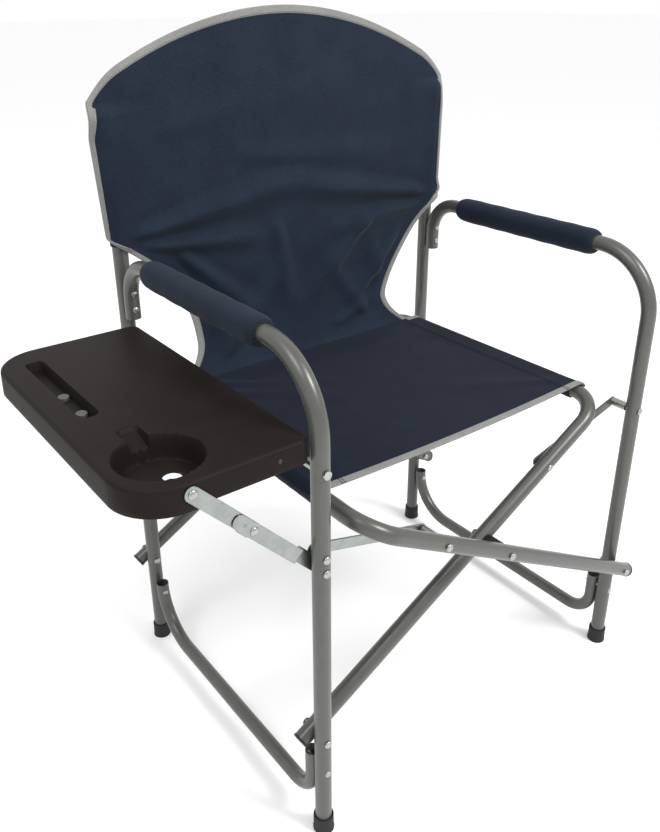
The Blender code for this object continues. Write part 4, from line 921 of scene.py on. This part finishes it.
# ---------------------------------------------------------------- seat
def seat_grid():
    """Across: round each rail's outer side, then level with a sag of 5 mm (1 - (x / rail)^2). Near the front
    and rear edges, past the rails' straight part, the wrap opens out."""
    round_rail = LEG_RADIUS + 0.0028
    turn = np.linspace(math.radians(80.0), 0.0, 12)
    y = np.linspace(SEAT_LOW.y, SEAT_HIGH.y, 121)
    flat = np.linspace(-RAIL_X, RAIL_X, 111)
    section_x = np.concatenate([-RAIL_X - round_rail * np.sin(turn), flat[1:-1], (RAIL_X + round_rail
                                * np.sin(turn))[::-1]])
    drop = round_rail * (np.cos(turn) - 1)
    wrap = np.concatenate([drop, np.zeros(109), drop[::-1]])
    x = np.broadcast_to(section_x[None, :], (len(y), len(section_x)))
    inner = np.clip(np.abs(x) / RAIL_X, 0.0, 1.0)
    end = smooth((np.abs(y - 0.012) - 0.140) / 0.035)[:, None]
    sag = 0.0055 * (1 - inner ** 2)
    lines = [(s * 0.225, e * 0.150 + 0.01, s * 0.06, e * 0.03, h, 0.010, 0.034)
             for s, e, h in ((1, 1, 0.0016), (-1, 1, 0.0016), (1, -1, 0.0012), (-1, -1, 0.0014))]
    lines += [(s * 0.21, 0.182, s * 0.10, 0.10, 0.0018, 0.008, 0.026) for s in (1, -1)]
    folds = creases(x, y[:, None], lines) * smooth((1 - inner) / 0.12)
    rear = smooth((y[:, None] - SEAT_HIGH.y + 0.05) / 0.05)
    z = RAIL_Z + round_rail + wrap[None, :] * (1 - 0.25 * end) - sag * (1 - 0.75 * rear) + folds
    return np.stack([x + MID_X, np.broadcast_to(y[:, None], x.shape), z], axis=-1)


def seat():
    grid = seat_grid()
    # The seat cloth takes the darker navy copy, which is painted shade; the rail hems keep the plain navy.
    panel = cloth("seat_fabric", grid, SEAT_NAVY_PAINTED_SHADE, "seat")
    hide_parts("seat_panel")
    front, inner = grid[0], grid[4]
    pieces = [tape("tape_seat_front", front, inner - front, np.cross(directions(front)[0], inner - front),
                   "seat", squashed=SEAT_FOLD)]
    rear, inner = grid[-1], grid[-5]
    tip = 0.206
    upright = (0.0, 0.0, 1.0)
    for side, pick in (("right", rear[:, 0] < MID_X - tip), ("left", rear[:, 0] > MID_X + tip)):
        edge, inside = rear[pick], inner[pick]
        pieces.append(tape("tape_seat_rear_" + side, edge, inside - edge,
                           np.cross(directions(edge)[0], inside - edge), "seat", squashed=SEAT_FOLD))
    for side, sign in (("right", -1), ("left", 1)):
        for row, inset in ((1, 0.026), (2, 0.031)):
            column = int(np.argmin(np.abs(grid[0, :, 0] - MID_X - sign * (RAIL_X - inset))))
            line = grid[:, column] + (0.0, 0.0, FABRIC / 2 + 0.0002)
            pieces.append(stitches("stitches_hem_%s_%d" % (side, row), line, np.tile(upright, (121, 1)),
                                   "seat", squashed=SEAT_FOLD))
            lead = np.stack([np.full(6, grid[0, column, 0]),
                             np.linspace(SEAT_LOW.y - 0.001, SEAT_LOW.y + 0.0065, 6),
                             np.full(6, grid[0, column, 2] + TAPE_THICKNESS / 2 + 0.0002)], axis=1)
            pieces.append(stitches("stitches_tape_%s_%d" % (side, row), lead, np.tile(upright, (6, 1)),
                                   "seat", squashed=SEAT_FOLD, pitch=0.0034))
    for name, sign, body in (("b", -1, "frame_b"), ("a", 1, "frame_a")):
        inner_r, outer_r = LEG_RADIUS + 0.0006, LEG_RADIUS + 0.0019
        y = np.linspace(-0.1535, 0.1535, 60)
        axis = np.stack([np.full_like(y, MID_X + sign * RAIL_X), y, np.full_like(y, RAIL_Z)], axis=1)
        outer = rings(axis, outer_r + 0.0003 * np.sin(y * 160) ** 2, 36)
        inner = rings(axis, inner_r, 36)
        shell = np.concatenate([outer, inner[::-1], outer[:1]])
        around = np.linspace(0.0, 2 * math.pi * outer_r, 37)
        run = np.concatenate([y, y[::-1], y[:1]])
        uv = np.stack(np.broadcast_arrays(around[None, :], run[:, None]), axis=-1)
        hem = surface("hem_on_rail_" + name, [shell], NAVY, uvs=[uv], sharp=60.0)
        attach(hem, body)


back()
pocket("right", RIGHT_X, "right_frame")
pocket("left", LEFT_X, "left_frame")
seat()


# ---------------------------------------------------------------- padded arms
def arm_pad(side, x, body):
    """Foam ring under a woven sleeve. The sleeve's radius swells a little between its ends, which are drawn
    in: R (1 - 0.17 t^2.5) at a share t into each end; below the tube it hangs thicker."""
    low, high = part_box("arm_cover_" + side)
    start, finish, full = low.y, high.y, (high.z - low.z) / 2
    y = np.concatenate([start + 0.018 * (1 - np.cos(np.linspace(0, math.pi / 2, 12))),
                        np.linspace(start + 0.018, finish - 0.018, 70)[1:-1],
                        (finish - 0.018 * (1 - np.cos(np.linspace(0, math.pi / 2, 12))))[::-1]])
    end = np.clip(1 - np.minimum(y - start, finish - y) / 0.014, 0.0, 1.0)
    radius = full * (1 - 0.17 * end ** 2.5) - 0.0003 + 0.00025 * np.sin(y * 140)
    turn = np.linspace(0.0, 2 * math.pi, 49)
    thicker = 0.0016 * np.clip(-np.sin(turn), 0.0, 1.0)
    seam = 0.0006 * np.exp(-((turn - 1.5 * math.pi) / 0.09) ** 2)
    outer_r = radius[:, None] + (thicker + seam)[None, :] * (1 - end[:, None] * 0.5)
    inner_r = np.broadcast_to(radius[:, None] - 0.0016, outer_r.shape)
    spread = np.stack([np.cos(turn), np.zeros_like(turn), np.sin(turn)], axis=-1)[None]
    axis = np.stack([np.full_like(y, x), y, np.full_like(y, ARM_Z)], axis=-1)[:, None]
    outer, inner = axis + outer_r[..., None] * spread, axis + inner_r[..., None] * spread
    shell = np.concatenate([outer, inner[::-1], outer[:1]])
    run = np.concatenate([y, y[::-1], y[:1]])
    uv = np.stack(np.broadcast_arrays(turn[None, :] * full, run[:, None]), axis=-1)
    cover = surface("sleeve_of_arm_cover_" + side, [shell], NAVY, uvs=[uv], sharp=70.0)
    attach(cover, body)
    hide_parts("arm_cover_" + side)
    long = finish - start
    past, bore, rim = 0.0012, LEG_RADIUS + 0.0004, full - 0.0048
    far = long + past
    core = rounded_profile([(-past, bore), (-past, rim), (far, rim), (far, bore), (-past, bore)], 0.001)
    foam = turned("core_of_arm_foam_" + side, core, (x, start, ARM_Z), (0, 1, 0), FOAM, 40)
    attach(foam, body)
    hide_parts("arm_foam_" + side)


arm_pad("right", RIGHT_X, "right_frame")
arm_pad("left", LEFT_X, "left_frame")


# ---------------------------------------------------------------- floor, light, camera
def studio():
    """A wide pale floor, plain white surroundings, and two large soft lamps, the stronger in front."""
    reach = np.array((-40.0, 40.0))
    grid = np.stack(np.broadcast_arrays(reach[None, :], reach[:, None], 0.0), axis=-1)
    made, _, shader = material("matt_studio_floor", Roughness=0.9)
    shader.inputs["Base Color"].default_value = linear("#fbfbfb")
    surface("studio_floor", [grid], made)
    world = bpy.data.worlds.new("pale_room")
    bpy.context.scene.world = world
    world.use_nodes = True
    world.node_tree.nodes["Background"].inputs["Color"].default_value = (1.0, 1.0, 1.0, 1.0)
    world.node_tree.nodes["Background"].inputs["Strength"].default_value = 1.0
    lamps = (("key", (0.9, -2.0, 2.8), 1.0, 76.0), ("fill", (-1.6, -0.4, 2.8), 1.2, 26.0))
    for name, place, size, power in lamps:
        lamp = bpy.data.lights.new(name, "AREA")
        lamp.size = size
        lamp.energy = power
        carrier = bpy.data.objects.new(name, lamp)
        carrier.location = Vector(place) + Vector((MID_X, 0.0, 0.0))
        aim = Vector((MID_X, 0.0, 0.45)) - carrier.location
        carrier.rotation_euler = aim.to_track_quat("-Z", "Y").to_euler()
        bpy.context.scene.collection.objects.link(carrier)


def camera():
    yaw, pitch, roll = 0.6442, 0.4252, -0.0074
    ahead = Vector((math.sin(yaw) * math.cos(pitch), math.cos(yaw) * math.cos(pitch), -math.sin(pitch)))
    right = Vector((math.cos(yaw), -math.sin(yaw), 0.0))
    up = right.cross(ahead)
    right_rolled = right * math.cos(roll) + up * math.sin(roll)
    up_rolled = up * math.cos(roll) - right * math.sin(roll)
    lens = bpy.data.cameras.new("camera")
    lens.sensor_width = 36.0
    lens.sensor_fit = "AUTO"
    lens.lens = 35.90005
    lens.shift_x = 0.0077
    lens.shift_y = -0.0535
    made = bpy.data.objects.new("camera", lens)
    turn = Matrix((right_rolled, up_rolled, -ahead)).transposed()
    made.matrix_world = Matrix.Translation((-0.7118 + MID_X, -0.8042, 0.9635)) @ turn.to_4x4()
    bpy.context.scene.collection.objects.link(made)
    bpy.context.scene.camera = made


studio()
camera()
bpy.context.scene.view_settings.view_transform = "Standard"
